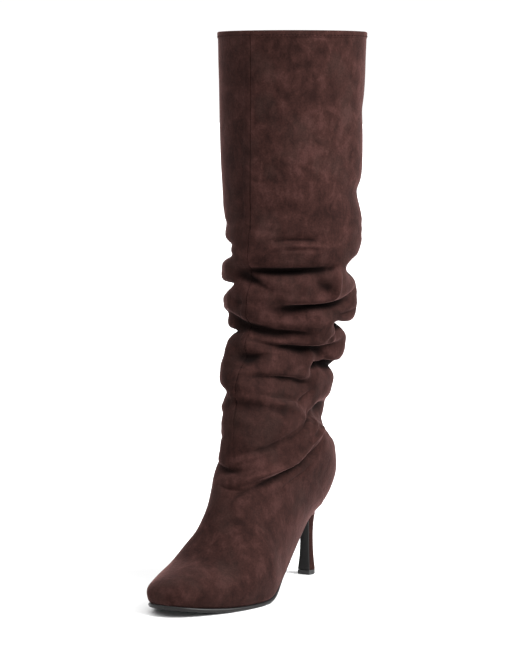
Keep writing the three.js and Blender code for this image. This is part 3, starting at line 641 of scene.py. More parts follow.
    def slack(self, rings, angle, height):
        """Soft dents of the loose suede and small puckers between the creases."""
        up = (height - self.heel) / self.shaft
        folded = smoothstep(up, *FOLDS_START) * (1 - smoothstep(up, *FOLDS_END))
        loose = smoothstep(up, *LOOSE_START) * (1 - smoothstep(up, *LOOSE_END))
        dents = np.zeros_like(height)
        puckers = np.zeros_like(height)
        for index in np.ndindex(*height.shape):
            x, y, z = rings[index]
            dents[index] = noise.noise((x * DENTS[0], y * DENTS[0], z * DENTS[1]))
            puckers[index] = noise.noise((x * PUCKERS[0], y * PUCKERS[0], z * PUCKERS[1] + 7))
        soft = DENTS[2] * dents * (LEAST_LOOSE + loose) + PUCKERS[2] * puckers * folded
        return self.folds.crease_depth * soft

    def skin(self, spacing, shares):
        """The outer skin as a grid of rings, with how far each point stands over what is near it, how
        deep it lies in a fold, and which rings close behind."""
        sections = self.sections(self.levels(spacing))
        rings, reach = self.rings(sections, shares)
        normals = grid_normals(rings)
        angle = self.angles(sections, rings)
        height = rings[:, :, 2]
        press, hang = self.creased(angle, height, CREASES)
        fine_press, fine_hang = self.creased(angle, height, FINE_CREASES)
        lift = self.pinched(angle, height) + self.slack(rings, angle, height) - press - fine_press
        sewn = self.seams(reach, height, sections)
        raised = lift + sewn
        skin = rings + normals * raised[:, :, None]
        skin[:, :, 2] -= np.clip(hang + fine_hang, 0, None)
        closed = sections[:, 6] < 1e-9
        skin[closed, -1] = skin[closed, 0]
        # The crests and folds found here give the suede's painted highlight and painted shade
        crest = lift - surroundings(lift, rings, CREST_RADIUS) + SEAM_CREST * sewn
        sunk = surroundings(lift, rings, FOLD_RADIUS) - surroundings(lift, rings, NEAR_RADIUS)
        fold = sunk / (FULL_FOLD * self.folds.crease_depth)
        return skin, crest, fold, closed


def side_shares(count, half_round):
    """Columns of one side as shares of the way from front to back, closer together at both seams."""
    near = np.array(FRONT_COLUMNS) * MILLIMETRE / half_round
    end = 1 - np.array(BACK_COLUMNS) * MILLIMETRE / half_round
    middle = np.linspace(near[-1], end[0], count + 2 - len(near) - len(end))[1:-1]
    return np.concatenate([near, middle, end])


def new_piece(name, points, faces, *materials):
    """A smooth-shaded mesh object that rides on the boot's body."""
    mesh = bpy.data.meshes.new(name)
    mesh.from_pydata([tuple(point) for point in points], [], faces)
    mesh.validate()
    mesh.shade_smooth()
    for material in materials:
        mesh.materials.append(material)
    piece = bpy.data.objects.new(name, mesh)
    bpy.context.scene.collection.objects.link(piece)
    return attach(piece, "root")


def bevelled(piece, width, segments=3):
    """Rounds a piece's sharp edges."""
    bevel = piece.modifiers.new("rounded edges", "BEVEL")
    bevel.width = width
    bevel.segments = segments
    bevel.limit_method = "ANGLE"
    bevel.angle_limit = math.radians(40)
    bevel.harden_normals = True
    return piece


def quads(rows):
    """Faces between rows of point numbers, each row to the next."""
    faces = []
    for low, high in zip(rows[:-1], rows[1:]):
        for j in range(len(low) - 1):
            faces.append((low[j], low[j + 1], high[j + 1], high[j]))
    return faces


def closed_rows(count, rows, start=0):
    """Point numbers of rings that close on themselves."""
    return [[start + i * count + j % count for j in range(count + 1)] for i in range(rows)]


def capped_loft(loops):
    """Points and faces of closed loops joined one to the next, with both ends filled."""
    count = len(loops[0])
    rows = closed_rows(count, len(loops))
    return np.concatenate(loops), [tuple(rows[0][:count])[::-1], *quads(rows), tuple(rows[-1][:count])]


class Nodes:
    """A material's node tree, built a node at a time."""

    def __init__(self, name):
        self.material = bpy.data.materials.new(name)
        self.material.use_nodes = True
        self.tree = self.material.node_tree
        self.shader = self.tree.nodes["Principled BSDF"]
        self.place = self.add("ShaderNodeTexCoord").outputs["Object"]

    def add(self, kind, inputs=None, **settings):
        """A node with its settings, and its inputs linked or set."""
        node = self.tree.nodes.new(kind)
        for key, value in settings.items():
            setattr(node, key, value)
        for key, value in (inputs or {}).items():
            if isinstance(value, bpy.types.NodeSocket):
                self.tree.links.new(value, node.inputs[key])
            else:
                node.inputs[key].default_value = value
        return node

    def height(self):
        """Height over the ground."""
        return self.add("ShaderNodeSeparateXYZ", {"Vector": self.place}).outputs["Z"]

    def kept(self, name):
        """A value kept at the mesh's points."""
        return self.add("ShaderNodeAttribute", attribute_name=name).outputs["Fac"]

    def pebbles(self, scale):
        """Small round cells, that many to a metre."""
        return self.add("ShaderNodeTexVoronoi", {"Vector": self.place, "Scale": scale}).outputs["Distance"]

    def stretched(self, scale):
        """Places squeezed by a factor along each axis."""
        return self.add("ShaderNodeMapping", {"Vector": self.place, "Scale": scale}).outputs[0]

    def cloud(self, size, detail=3.0, rough=0.5, place=None, distortion=0.0):
        """Noise whose patches are about that size in metres."""
        return self.add("ShaderNodeTexNoise", {
            "Vector": place or self.place,
            "Scale": 1 / size,
            "Detail": detail,
            "Roughness": rough,
            "Distortion": distortion,
        }).outputs["Fac"]

    def math(self, operation, a, b=0.0, c=0.0):
        """A maths node on up to three values or sockets."""
        return self.add("ShaderNodeMath", {0: a, 1: b, 2: c}, operation=operation).outputs[0]

    def between(self, value, low, high, to_low=0.0, to_high=1.0):
        """A value's way from low to high, spread over another range."""
        return self.add("ShaderNodeMapRange", {
            "Value": value,
            "From Min": low,
            "From Max": high,
            "To Min": to_low,
            "To Max": to_high,
        }).outputs["Result"]

    def ramp(self, value, *stops):
        """A colour between stops of place and colour."""
        node = self.add("ShaderNodeValToRGB", {"Fac": value})
        elements = node.color_ramp.elements
        while len(elements) < len(stops):
            elements.new(0.5)
        for element, (place, colour) in zip(elements, stops):
            element.position = place
            element.color = (*colour, 1)
        return node.outputs["Color"]

    def mix(self, share, a, b, blend="MIX"):
        """Two colours mixed by a share."""
        node = self.add("ShaderNodeMix", data_type="RGBA", blend_type=blend)
        for socket, value in ((0, share), (6, a), (7, b)):
            if isinstance(value, bpy.types.NodeSocket):
                self.tree.links.new(value, node.inputs[socket])
            else:
                node.inputs[socket].default_value = value if socket == 0 else (*value[:3], 1)
        return node.outputs[2]

    def bump(self, height, distance, strength=1.0, under=None):
        """Relief of a depth in metres, laid over other relief."""
        inputs = {"Height": height, "Distance": distance, "Strength": strength}
        if under is not None:
            inputs["Normal"] = under
        return self.add("ShaderNodeBump", inputs).outputs["Normal"]

    def finish(self, colour, normal, roughness, **others):
        """Links the shader's sockets to what varies and sets the rest as values."""
        values = {"Base_Color": colour, "Normal": normal, "Roughness": roughness, **others}
        for name, value in values.items():
            socket = self.shader.inputs[name.replace("_", " ")]
            if isinstance(value, bpy.types.NodeSocket):
                self.tree.links.new(value, socket)
            else:
                socket.default_value = value
        return self.material


def shade(colour, factor):
    """A colour made darker or lighter."""
    return tuple(min(channel * factor, 1) for channel in colour[:3])


def suede_material(colours, crested=True):
    """Napped suede: brushed patches, strokes along the leg and fine nap, with worn nap and a painted
    highlight on the crests, painted shade in the folds, grooves and inner side, and darker towards the
    bottom.
    """
    nodes = Nodes("suede")
    suede = colours.suede
    brushed = colours.brushed_suede
    broad = nodes.cloud(0.070, 2.0, 0.5, distortion=0.5)
    patches = nodes.cloud(0.016, 4.0, 0.62, distortion=0.5)
    strokes = nodes.cloud(0.006, 3.0, 0.6, nodes.stretched((1, 1, 0.55)), 0.4)
    nap = nodes.cloud(0.0014, 2.0, 0.6)
    tone = nodes.math("MULTIPLY_ADD", broad, 0.22, nodes.math("MULTIPLY", patches, 0.48))
    tone = nodes.math("MULTIPLY_ADD", strokes, 0.30, tone)
    colour = nodes.ramp(
        nodes.between(tone, 0.40, 0.60),
        (0.0, shade(suede, 0.58)),
        (0.35, shade(suede, 0.90)),
        (0.62, shade(suede, 1.14)),
        (1.0, brushed),
    )
    ashen = nodes.cloud(0.034, 4.0, 0.6, nodes.stretched((1.1, 1.1, 0.8)))
    ashen = nodes.math("MULTIPLY", nodes.between(ashen, 0.50, 0.68), 0.45)
    colour = nodes.mix(ashen, colour, colours.ashen_suede)
    sheen = 0.18
    if crested:
        # Worn nap and a painted highlight: the suede is made paler on the crests
        crest = nodes.kept("crest")
        worn_and_lit = nodes.between(crest, 0.10, 0.9)
        worn_and_lit = nodes.math("MULTIPLY", worn_and_lit, nodes.between(patches, 0.3, 0.65))
        colour = nodes.mix(nodes.math("MULTIPLY", worn_and_lit, 0.50), colour, shade(brushed, 1.3))
        # Painted shade: the folds and small grooves are darkened nearly to black, and their sheen is taken
        # out
        sunk = nodes.between(nodes.kept("fold"), 0.25, 0.95)
        shaded = nodes.math("MAXIMUM", nodes.between(crest, -0.30, -1.1), sunk)
        colour = nodes.mix(nodes.math("MULTIPLY", shaded, 0.95), colour, shade(suede, 0.05))
        sheen = nodes.between(shaded, 0, 0.7, sheen, 0.01)
        # Painted shade on the inner side of the shaft, which faces away from the key light
        inner = nodes.math("MULTIPLY", nodes.kept("inner_panel"), 0.32)
        colour = nodes.mix(inner, colour, shade(suede, 0.30))
    colour = nodes.mix(nodes.between(nodes.height(), 0.34, 0.22, 0.0, 0.34), colour, shade(suede, 0.20))
    fleck = nodes.between(nap, 0.3, 0.7, 0.80, 1.20)
    flecks = nodes.add("ShaderNodeCombineColor", {"Red": fleck, "Green": fleck, "Blue": fleck}).outputs[0]
    colour = nodes.mix(1.0, colour, flecks, "MULTIPLY")
    normal = nodes.bump(patches, 0.0012, 0.30)
    normal = nodes.bump(strokes, 0.0006, 0.35, normal)
    normal = nodes.bump(nap, 0.0003, 0.6, normal)
    return nodes.finish(
        colour,
        normal,
        0.95,
        Specular_IOR_Level=0.05,
        Sheen_Weight=sheen,
        Sheen_Roughness=0.30,
        Sheen_Tint=(0.85, 0.42, 0.40, 1),
    )


def lining_material(colours):
    """Smooth lining leather with fine pores."""
    nodes = Nodes("lining leather")
    lining = colours.lining
    tone = nodes.cloud(0.03, 4.0, 0.55)
    colour = nodes.mix(nodes.between(tone, 0.35, 0.65), shade(lining, 0.82), shade(lining, 1.1))
    normal = nodes.bump(nodes.pebbles(900.0), 0.0002, 0.35, nodes.bump(tone, 0.0008, 0.25))
    rough = nodes.between(tone, 0.3, 0.7, 0.48, 0.62)
    return nodes.finish(colour, normal, rough, Specular_IOR_Level=0.4)


def sole_edge_material(colours):
    """The black, burnished edge of the sole and the heel's breast."""
    nodes = Nodes("burnished black edge")
    smudge = nodes.cloud(0.012, 4.0, 0.6)
    grain = nodes.cloud(0.0012, 3.0, 0.6, nodes.stretched((1, 1, 2.5)))
    colour = nodes.mix(nodes.between(smudge, 0.35, 0.7), colours.sole, shade(colours.sole, 1.7))
    rough = nodes.between(smudge, 0.3, 0.7, 0.30, 0.46)
    return nodes.finish(colour, nodes.bump(grain, 0.0001, 0.3), rough, Specular_IOR_Level=0.15)


def tread_material(colours):
    """The walking face of the sole: fine pebbled rubber, scuffed where it meets the floor."""
    nodes = Nodes("pebbled sole")
    normal = nodes.bump(nodes.pebbles(620.0), 0.0003, 0.6)
    scuffs = nodes.cloud(0.010, 5.0, 0.7, nodes.stretched((1, 0.3, 1)))
    low = nodes.between(nodes.height(), 0.0012, 0.0002)
    share = nodes.math("MULTIPLY", low, nodes.between(scuffs, 0.5, 0.7, 0.0, 0.5))
    colour = nodes.mix(share, shade(colours.sole, 1.3), SCUFFED_SOLE)
    return nodes.finish(colour, normal, nodes.between(scuffs, 0.4, 0.7, 0.45, 0.7))


def lift_material(colours):
    """The hard rubber top lift, dulled at its ground edge."""
    nodes = Nodes("top lift rubber")
    speckle = nodes.cloud(0.0008, 3.0, 0.7)
    low = nodes.between(nodes.height(), 0.0014, 0.0)
    scuffed = nodes.math("MULTIPLY", low, nodes.between(speckle, 0.45, 0.65))
    colour = nodes.mix(nodes.math("MULTIPLY", scuffed, 0.5), shade(colours.sole, 0.8), SCUFFED_LIFT)
    rough = nodes.between(speckle, 0.3, 0.7, 0.5, 0.7)
    return nodes.finish(colour, nodes.bump(speckle, 0.0002, 0.5), rough)


def thread_material(colours):
    """Matt sewing thread, twisted."""
    nodes = Nodes("brown thread")
    thread = colours.thread
    inputs = {"Vector": nodes.place, "Scale": 900.0, "Distortion": 1.0}
    twist = nodes.add("ShaderNodeTexWave", inputs, bands_direction="DIAGONAL").outputs["Fac"]
    colour = nodes.mix(nodes.between(twist, 0.2, 0.8), shade(thread, 0.75), shade(thread, 1.2))
    return nodes.finish(colour, nodes.bump(twist, 0.0001, 0.5), 0.9, Specular_IOR_Level=0.05)


def floor_material(colours):
    """A plain pale studio floor with a very slight unevenness."""
    nodes = Nodes("studio floor")
    tone = nodes.between(nodes.cloud(0.6, 3.0, 0.5), 0.3, 0.7)
    colour = nodes.mix(tone, shade(colours.floor, 0.985), colours.floor[:3])
    normal = nodes.bump(nodes.cloud(0.004, 2.0), 0.0001, 0.1)
    return nodes.finish(colour, normal, 0.85, Specular_IOR_Level=0.1)


class BootSizes(bpy.types.PropertyGroup):
    """Sizes of the boot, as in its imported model"""

    foot_length: FloatProperty(
        name="Foot length", description="From the heel's rear bulge to the toe",
        default=0.236, min=0.18, max=0.30, unit="LENGTH", precision=4)
    ball_width: FloatProperty(
        name="Ball width", description="Width of the bottom edge at the ball of the foot",
        default=0.084, min=0.06, max=0.11, unit="LENGTH", precision=4)
    instep_height: FloatProperty(
        name="Instep height", description="Height that the foot's sections are shares of",
        default=0.100, min=0.07, max=0.13, unit="LENGTH", precision=4)
    heel_height: FloatProperty(
        name="Heel height", description="From the ground to the edge of the suede at the heel",
        default=0.057, min=0.03, max=0.09, unit="LENGTH", precision=4)
    boot_height: FloatProperty(
        name="Boot height", description="From the ground to the collar",
        default=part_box("upper")[1].z, min=0.35, max=0.6, unit="LENGTH", precision=4)
    collar_width: FloatProperty(
        name="Collar width", description="Width across the collar that the leg's sections are shares of",
        default=0.130, min=0.1, max=0.16, unit="LENGTH", precision=4)
    toe_spring: FloatProperty(
        name="Toe spring", description="Rise of the sole at the toe",
        default=0.007, min=0.0, max=0.02, unit="LENGTH", precision=4)
    wall: FloatProperty(
        name="Wall", description="Thickness of suede and lining together",
        default=0.0018, min=0.001, max=0.004, unit="LENGTH", precision=5)
    clearance: FloatProperty(
        name="Clearance", description="Gap between pieces that meet",
        default=0.0003, min=0.0001, max=0.001, unit="LENGTH", precision=5)
    sole_thickness: FloatProperty(
        name="Sole thickness", description="From the ground to the suede's edge at the ball",
        default=0.0035, min=0.002, max=0.01, unit="LENGTH", precision=5)
    waist_thickness: FloatProperty(
        name="Waist thickness", description="Thickness of the sole under the arch",
        default=0.0022, min=0.001, max=0.005, unit="LENGTH", precision=5)
    heel_setback: FloatProperty(
        name="Heel setback", description="From the heel's rear bulge to the middle of the tip",
        default=0.020, min=0.01, max=0.04, unit="LENGTH", precision=4)
    heel_breast: FloatProperty(
        name="Heel breast", description="From the heel's rear bulge to the breast at the sole",
        default=0.031, min=0.02, max=0.05, unit="LENGTH", precision=4)
    heel_tip_width: FloatProperty(
        name="Heel tip width", description="Width of the heel where it meets the ground",
        default=0.014, min=0.008, max=0.03, unit="LENGTH", precision=4)
    heel_tip_length: FloatProperty(
        name="Heel tip length", description="Length of the heel where it meets the ground",
        default=0.0125, min=0.008, max=0.03, unit="LENGTH", precision=4)
    top_lift_height: FloatProperty(
        name="Top lift height", description="Height of the rubber piece on the heel's tip",
        default=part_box("top_lift")[1].z, min=0.002, max=0.01, unit="LENGTH", precision=4)
    breast_thickness: FloatProperty(
        name="Breast thickness", description="Thickness of the cover on the heel's flat front",
        default=0.0012, min=0.0005, max=0.003, unit="LENGTH", precision=5)


class BootFolds(bpy.types.PropertyGroup):
    """How deep and fine the shaft's creases are"""

    crease_depth: FloatProperty(
        name="Crease depth", description="Depth that the creases' depths are shares of",
        default=0.010, min=0.0, max=0.02, unit="LENGTH", precision=4)
    crease_width: FloatProperty(
        name="Crease width", description="Width that the creases' widths are shares of",
        default=0.0065, min=0.002, max=0.02, unit="LENGTH", precision=4)
    crispness: FloatProperty(
        name="Crispness", description="Extra depth of the sharp line in the bottom of each crease",
        default=0.16, min=0.0, max=0.5, subtype="FACTOR")
    stitch_length: FloatProperty(
        name="Stitch length", description="Length of one hem stitch",
        default=0.0026, min=0.001, max=0.006, unit="LENGTH", precision=4)
    columns: IntProperty(
        name="Columns", description="Columns of faces on each side of the suede",
        default=118, min=40, max=140)


class BootColours(bpy.types.PropertyGroup):
    """Colours of the boot and its stage"""

    suede: FloatVectorProperty(
        name="Suede", description="Middle tone of the suede",
        default=(0.0200, 0.0079, 0.0066), min=0, max=1, subtype="COLOR")
    brushed_suede: FloatVectorProperty(
        name="Brushed suede", description="Suede where the nap is brushed up and catches the light",
        default=(0.0345, 0.0142, 0.0124), min=0, max=1, subtype="COLOR")
    ashen_suede: FloatVectorProperty(
        name="Ashen suede", description="Greyer patches of the nap",
        default=(0.0230, 0.0126, 0.0106), min=0, max=1, subtype="COLOR")
    lining: FloatVectorProperty(
        name="Lining", description="Colour of the lining leather",
        default=(0.16, 0.095, 0.070), min=0, max=1, subtype="COLOR")
    sole: FloatVectorProperty(
        name="Sole", description="Colour of the sole, its edge and the heel's breast",
        default=(0.006, 0.0055, 0.0055), min=0, max=1, subtype="COLOR")
    thread: FloatVectorProperty(
        name="Thread", description="Colour of the hem's stitches",
        default=(0.0120, 0.0050, 0.0042), min=0, max=1, subtype="COLOR")
    floor: FloatVectorProperty(
        name="Floor", description="Colour of the studio floor",
        default=(0.62, 0.62, 0.62), min=0, max=1, subtype="COLOR")


class BootStage(bpy.types.PropertyGroup):
    """The light and the camera"""

    azimuth: FloatProperty(
        name="Azimuth", description="Direction of the camera, from the toe towards the outer side",
        default=math.radians(31), subtype="ANGLE")
    pitch: FloatProperty(
        name="Pitch", description="How far the camera looks down",
        default=math.radians(5.5), subtype="ANGLE")
    distance: FloatProperty(
        name="Distance", description="Level distance from the camera to the foot",
        default=2.05, min=0.5, max=10, unit="LENGTH")
    height: FloatProperty(
        name="Height", description="Height of the camera over the ground",
        default=0.412, min=0, max=3, unit="LENGTH")
    framing: FloatProperty(
        name="Framing", description="How much closer the camera frames the boot than the photograph",
        default=1.28, min=0.5, max=2, subtype="FACTOR")
    key_light: FloatProperty(
        name="Key light", description="Strength of the soft light on the outer side",
        default=8.6, min=0, max=30)
    top_light: FloatProperty(
        name="Top light", description="Strength of the soft light overhead",
        default=3.7, min=0, max=30)
    back_light: FloatProperty(
        name="Back light", description="Strength of the weak light from behind",
        default=1.6, min=0, max=30)
    surround: FloatProperty(
        name="Surround", description="Strength of the studio's light overhead",
        default=0.30, min=0, max=5)


def shape():
    """The boot's form, from the sizes in the scene."""
    scene = bpy.context.scene
    return BootForm(scene.boot_sizes, scene.boot_folds)


class BOOT_OT_upper(bpy.types.Operator):
    """Builds the suede upper with its creases, seams and turned hem"""

    bl_idname = "boot.upper"
    bl_label = "Suede upper"

    ring_spacing = 0.00125
    nap = 0.0003
    roll_steps = 8
    turned_drops = (0.002, 0.005, 0.009, 0.012)
    tuck = 0.0005
    # where behind the breast the suede stops turning down, and the share that it loses
    seat_start = (0.006, 0.012)
    seat_loss = 0.9
    # how much the turned edge leans towards the foot's middle along its length, and where on the shaft
    # the painted shade on the inner side sets in
    lean = 0.12
    inner_shade_start = (0.16, 0.32)

    def execute(self, context):
        form = shape()
        shares = side_shares(context.scene.boot_folds.columns, HALF_ROUND * form.collar)
        skin, crest, fold, closed = form.skin(self.ring_spacing, shares)
        rings, columns = crest.shape
        loops = [*skin, *self.turned_hem(form, skin[-1], grid_normals(skin)[-1])]
        points = np.concatenate(loops)
        rows = np.arange(len(points)).reshape(len(loops), columns)
        closed_row = np.concatenate([closed, np.ones(len(loops) - rings, bool)])
        rows[closed_row, -1] = rows[closed_row, 0]
        faces = quads(rows.tolist())
        # the suede turns in under the foot and is lasted to the sole
        edge = self.bottom_edge(skin, closed)
        inward = self.inward(skin, edge)
        behind_breast = form.breast - (form.setback - points[edge][:, 1:2])
        down = 1 - self.seat_loss * smoothstep(behind_breast, *self.seat_start)
        last = edge
        for reach, drop in zip(*LASTING.values()):
            row = list(range(len(points), len(points) + len(edge)))
            turned = points[edge] + MILLIMETRE * (inward * reach - down * (0, 0, drop))
            points = np.concatenate([points, turned])
            faces += [(b, a, d, c) for a, b, c, d in quads([last, row])]
            last = row
        upper = new_piece("suede_upper", points, faces, suede_material(context.scene.boot_colours))
        up = (skin[:, :, 2] - form.heel) / form.shaft
        on_inner_side = np.arange(columns) < columns // 2
        # These values paint a highlight on the crests and shade in the folds and on the inner side
        self.store(upper, "crest", crest / CREST_HEIGHT)
        self.store(upper, "fold", fold)
        self.store(upper, "inner_panel", on_inner_side * smoothstep(up, *self.inner_shade_start))
        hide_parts("upper")
        return {"FINISHED"}

    def turned_hem(self, form, top, normals):
        """Loops over the collar and down inside it."""
        out = normals * (1, 1, 0)
        out /= np.linalg.norm(out, axis=1, keepdims=True)
        up = np.array([0, 0, 1])
        half = form.wall / 2 + self.nap
        loops = []
        for turn in np.linspace(0, math.pi, self.roll_steps)[1:]:
            loops.append(top - out * half * (1 - math.cos(turn)) + up * half * math.sin(turn))
        for drop in self.turned_drops:
            loops.append(top - out * 2 * half - up * drop)
        return [*loops, loops[-1] + out * self.tuck]

    @staticmethod
    def bottom_edge(skin, closed):
        """Indices of the bottom edge's points: up the outer side from the heel to the toe and back."""
        rings, columns = skin.shape[:2]
        open_rings = [i for i in range(rings) if not closed[i]]
        first_closed = open_rings[-1] + 1
        outer = [i * columns + columns - 1 for i in reversed(open_rings)]
        toe = range(columns - 2, 0, -1)
        inner = [i * columns for i in open_rings]
        return [first_closed * columns, *outer, *toe, *inner, first_closed * columns]

    def inward(self, skin, edge):
        """Level directions from the bottom edge's points towards the middle of the sole."""
        x, y, _ = skin.reshape(-1, 3)[edge].T
        ring = np.array(edge) // skin.shape[1]
        middle_x = (skin[ring, 0, 0] + skin[ring, -1, 0]) / 2
        middle_y = (y.min() + y.max()) / 2
        inward = np.stack([middle_x - x, self.lean * (middle_y - y), 0 * x], axis=1)
        return inward / np.maximum(np.linalg.norm(inward, axis=1, keepdims=True), 1e-9)

    @staticmethod
    def store(upper, name, grid):
        """Keeps a value for each point of the skin's grid, for the suede's material."""
        values = np.zeros(len(upper.data.vertices), np.float32)
        values[:grid.size] = np.clip(grid, -1, 1).ravel()
        attribute = upper.data.attributes.new(name, "FLOAT", "POINT")
        attribute.data.foreach_set("value", values)


class BOOT_OT_lining(bpy.types.Operator):
    """Builds the leather lining inside the upper"""

    bl_idname = "boot.lining"
    bl_label = "Lining"

    ring_spacing = 0.003
    side_columns = 44
    # where it starts under the hem and behind the toe
    top_drop = 0.009
    toe_inset = 0.010
    # how far it lies in the suede's inner face, stands off in the folds, and more below the hem
    overlap = 0.0002
    fold_start = -0.3
    fold_slack = 0.0025
    lower_slack = 0.0012
    lower_start = (0.012, 0.032)

    def execute(self, context):
        form = shape()
        skin, _, fold, closed = form.skin(self.ring_spacing, np.linspace(0, 1, self.side_columns))
        start, end = self.lower_start
        below = np.clip((form.top - start - skin[:, :, 2]) / (end - start), 0, 1)
        loose = self.fold_slack * np.clip(fold - self.fold_start, 0, 1) + self.lower_slack * below
        slack = form.wall - self.overlap + loose
        inside = skin - grid_normals(skin) * slack[:, :, None]
        edge = skin[:, 0]
        keep = (edge[:, 2] < form.top - self.top_drop) & (edge[:, 1] > edge[0, 1] + self.toe_inset)
        inside, closed = inside[keep], closed[keep]
        inside[closed, -1] = inside[closed, 0]
        rows = np.arange(inside[:, :, 0].size).reshape(inside.shape[:2])
        faces = [(a, d, c, b) for a, b, c, d in quads(rows.tolist())]
        leather = lining_material(context.scene.boot_colours)
        leather.use_backface_culling = False
        lining = new_piece("lining", inside.reshape(-1, 3), faces, leather)
        return {"FINISHED"}


class BOOT_OT_hem_stitches(bpy.types.Operator):
    """Sews the row of stitches round the turned hem"""

    bl_idname = "boot.hem_stitches"
    bl_label = "Hem stitches"

    ring_spacing = 0.004
    # from one stitch to the next, in stitch lengths
    pitch = 1.25
    sides = 6
    steps = 7
    proud = 0.00028
    sunk = 0.00012
    end_radius = 0.00012
    more_radius = 0.00016

    def execute(self, context):
        form = shape()
        length = context.scene.boot_folds.stitch_length
        shares = side_shares(context.scene.boot_folds.columns, HALF_ROUND * form.collar)
        skin = form.skin(self.ring_spacing, shares)[0]
        out = grid_normals(skin)[-3]
        height = form.top - HEM_STITCH_LINE * MILLIMETRE
        hem = skin[-len(HEM_RINGS) - 1:].transpose(1, 2, 0)
        path = np.array([[np.interp(height, column[2], values) for values in column] for column in hem])
        reach = np.linalg.norm(np.diff(path, axis=0), axis=1).cumsum()
        reach = np.concatenate([[0], reach])
        count = int(reach[-1] / (length * self.pitch))
        loops, faces = [], []
        for k in range(count):
            rows = closed_rows(self.sides, self.steps, len(loops) * self.sides)
            loops += self.stitch(path, out, reach, (k + 0.5) * reach[-1] / count, length)
            faces += quads(rows)
        thread = thread_material(context.scene.boot_colours)
        stitches = new_piece("hem_stitches", np.concatenate(loops), faces, thread)
        return {"FINISHED"}

    def stitch(self, path, out, reach, middle, length):
        """One stitch: a short round thread that rises from the suede and dives back."""
        turn = 2 * math.pi * np.arange(self.sides)[:, None] / self.sides
        loops = []
        for share in np.linspace(-0.5, 0.5, self.steps):
            at = middle + share * length
            centre = np.array([np.interp(at, reach, values) for values in path.T])
            raised = np.array([np.interp(at, reach, values) for values in out.T])
            bulge = 1 - (2 * share) ** 2
            centre = centre + raised * (self.proud * bulge - self.sunk)
            radius = self.end_radius + self.more_radius * math.sqrt(max(bulge, 0))
            loops.append(centre + radius * (raised * np.cos(turn) + np.array([0, 0, 1]) * np.sin(turn)))
        return loops


class BOOT_OT_insole(bpy.types.Operator):
    """Covers the insole in lining leather"""

    bl_idname = "boot.insole"
    bl_label = "Insole"

    def execute(self, context):
        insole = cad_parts["insole"]
        insole.data.materials.clear()
        insole.data.materials.append(lining_material(context.scene.boot_colours))
        return {"FINISHED"}


class BOOT_OT_sole(bpy.types.Operator):
    """Builds the thin sole with its rounded, burnished edge and pebbled face"""

    bl_idname = "boot.sole"
    bl_label = "Sole"

    section_count = 260
    flat_columns = 11
    # how far the sole stands out at the ball and draws in at the waist and the toe, and where
    margin = 0.0007
    waist_inset = 0.0013
    ball_rise = (0.46, 0.60)
    toe_start = 0.84
    toe_loss = 0.6
    thickening = (0.4, 0.6)
    least_width = 0.003

    def execute(self, context):
        form = shape()
        colours = context.scene.boot_colours
        sections = form.sections(np.linspace(0, len(FOOT_SECTIONS["back"]) - 1, self.section_count))
        rings, _ = form.rings(sections, np.array([0.0, 1.0]))
        rings = rings[rings[:, -1, 1] < form.setback - form.breast - form.gap]
        inner, outer = rings[:, 0], rings[:, -1]
        along = (form.setback - outer[:, 1]) / form.foot
        spread = (self.margin + self.waist_inset) * smoothstep(along, *self.ball_rise) - self.waist_inset
        spread -= self.toe_loss * self.margin * smoothstep(along, self.toe_start, 1)
        outer = self.widened(outer, spread, 1)
        inner = self.widened(inner, spread, -1)
        thick = form.waist + (form.sole - form.gap - form.waist) * smoothstep(along, *self.thickening)
        loops = [self.loop(form, *section) for section in zip(inner, outer, thick)]
        points, faces = capped_loft(loops)
        sole = new_piece("sole", points, faces, sole_edge_material(colours), tread_material(colours))
        first = len(SOLE_EDGE["drop"]) - 1
        for polygon in sole.data.polygons:
            columns = [v % len(loops[0]) for v in polygon.vertices]
            if len(columns) == 4 and first <= min(columns) and max(columns) <= first + self.flat_columns + 1:
                polygon.material_index = 1
        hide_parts("outsole")
        return {"FINISHED"}

    def loop(self, form, inner, outer, thick):
        """A section across the sole: down its outer edge, across the face, up and back over the top."""
        width = max(np.linalg.norm(outer - inner), self.least_width)
        edge = SOLE_EDGE["inset"] * MILLIMETRE / width
        flat = np.linspace(0, 1, self.flat_columns + 2)[1:-1]
        face = edge[-1] + flat * (1 - 2 * edge[-1])
        share = np.concatenate([edge, face, 1 - edge[::-1], flat[::-1]])
        drop = SOLE_EDGE["drop"]
        drop = np.concatenate([drop, np.ones_like(face), drop[::-1], np.zeros_like(flat)])
        loop = outer + (inner - outer) * share[:, None]
        loop[:, 2] -= form.gap + drop * thick
        return loop

    @staticmethod
    def widened(points, spread, side):
        """Edge points moved out by the sole's margin."""
        forward = np.gradient(points, axis=0)
        outward = np.stack([side * forward[:, 1], -side * forward[:, 0]], axis=1)
        outward /= np.maximum(np.linalg.norm(outward, axis=1, keepdims=True), 1e-9)
        outward[:1] = (0, -1)
        moved = points.copy()
        moved[:, :2] += outward * spread[:, None]
        return moved


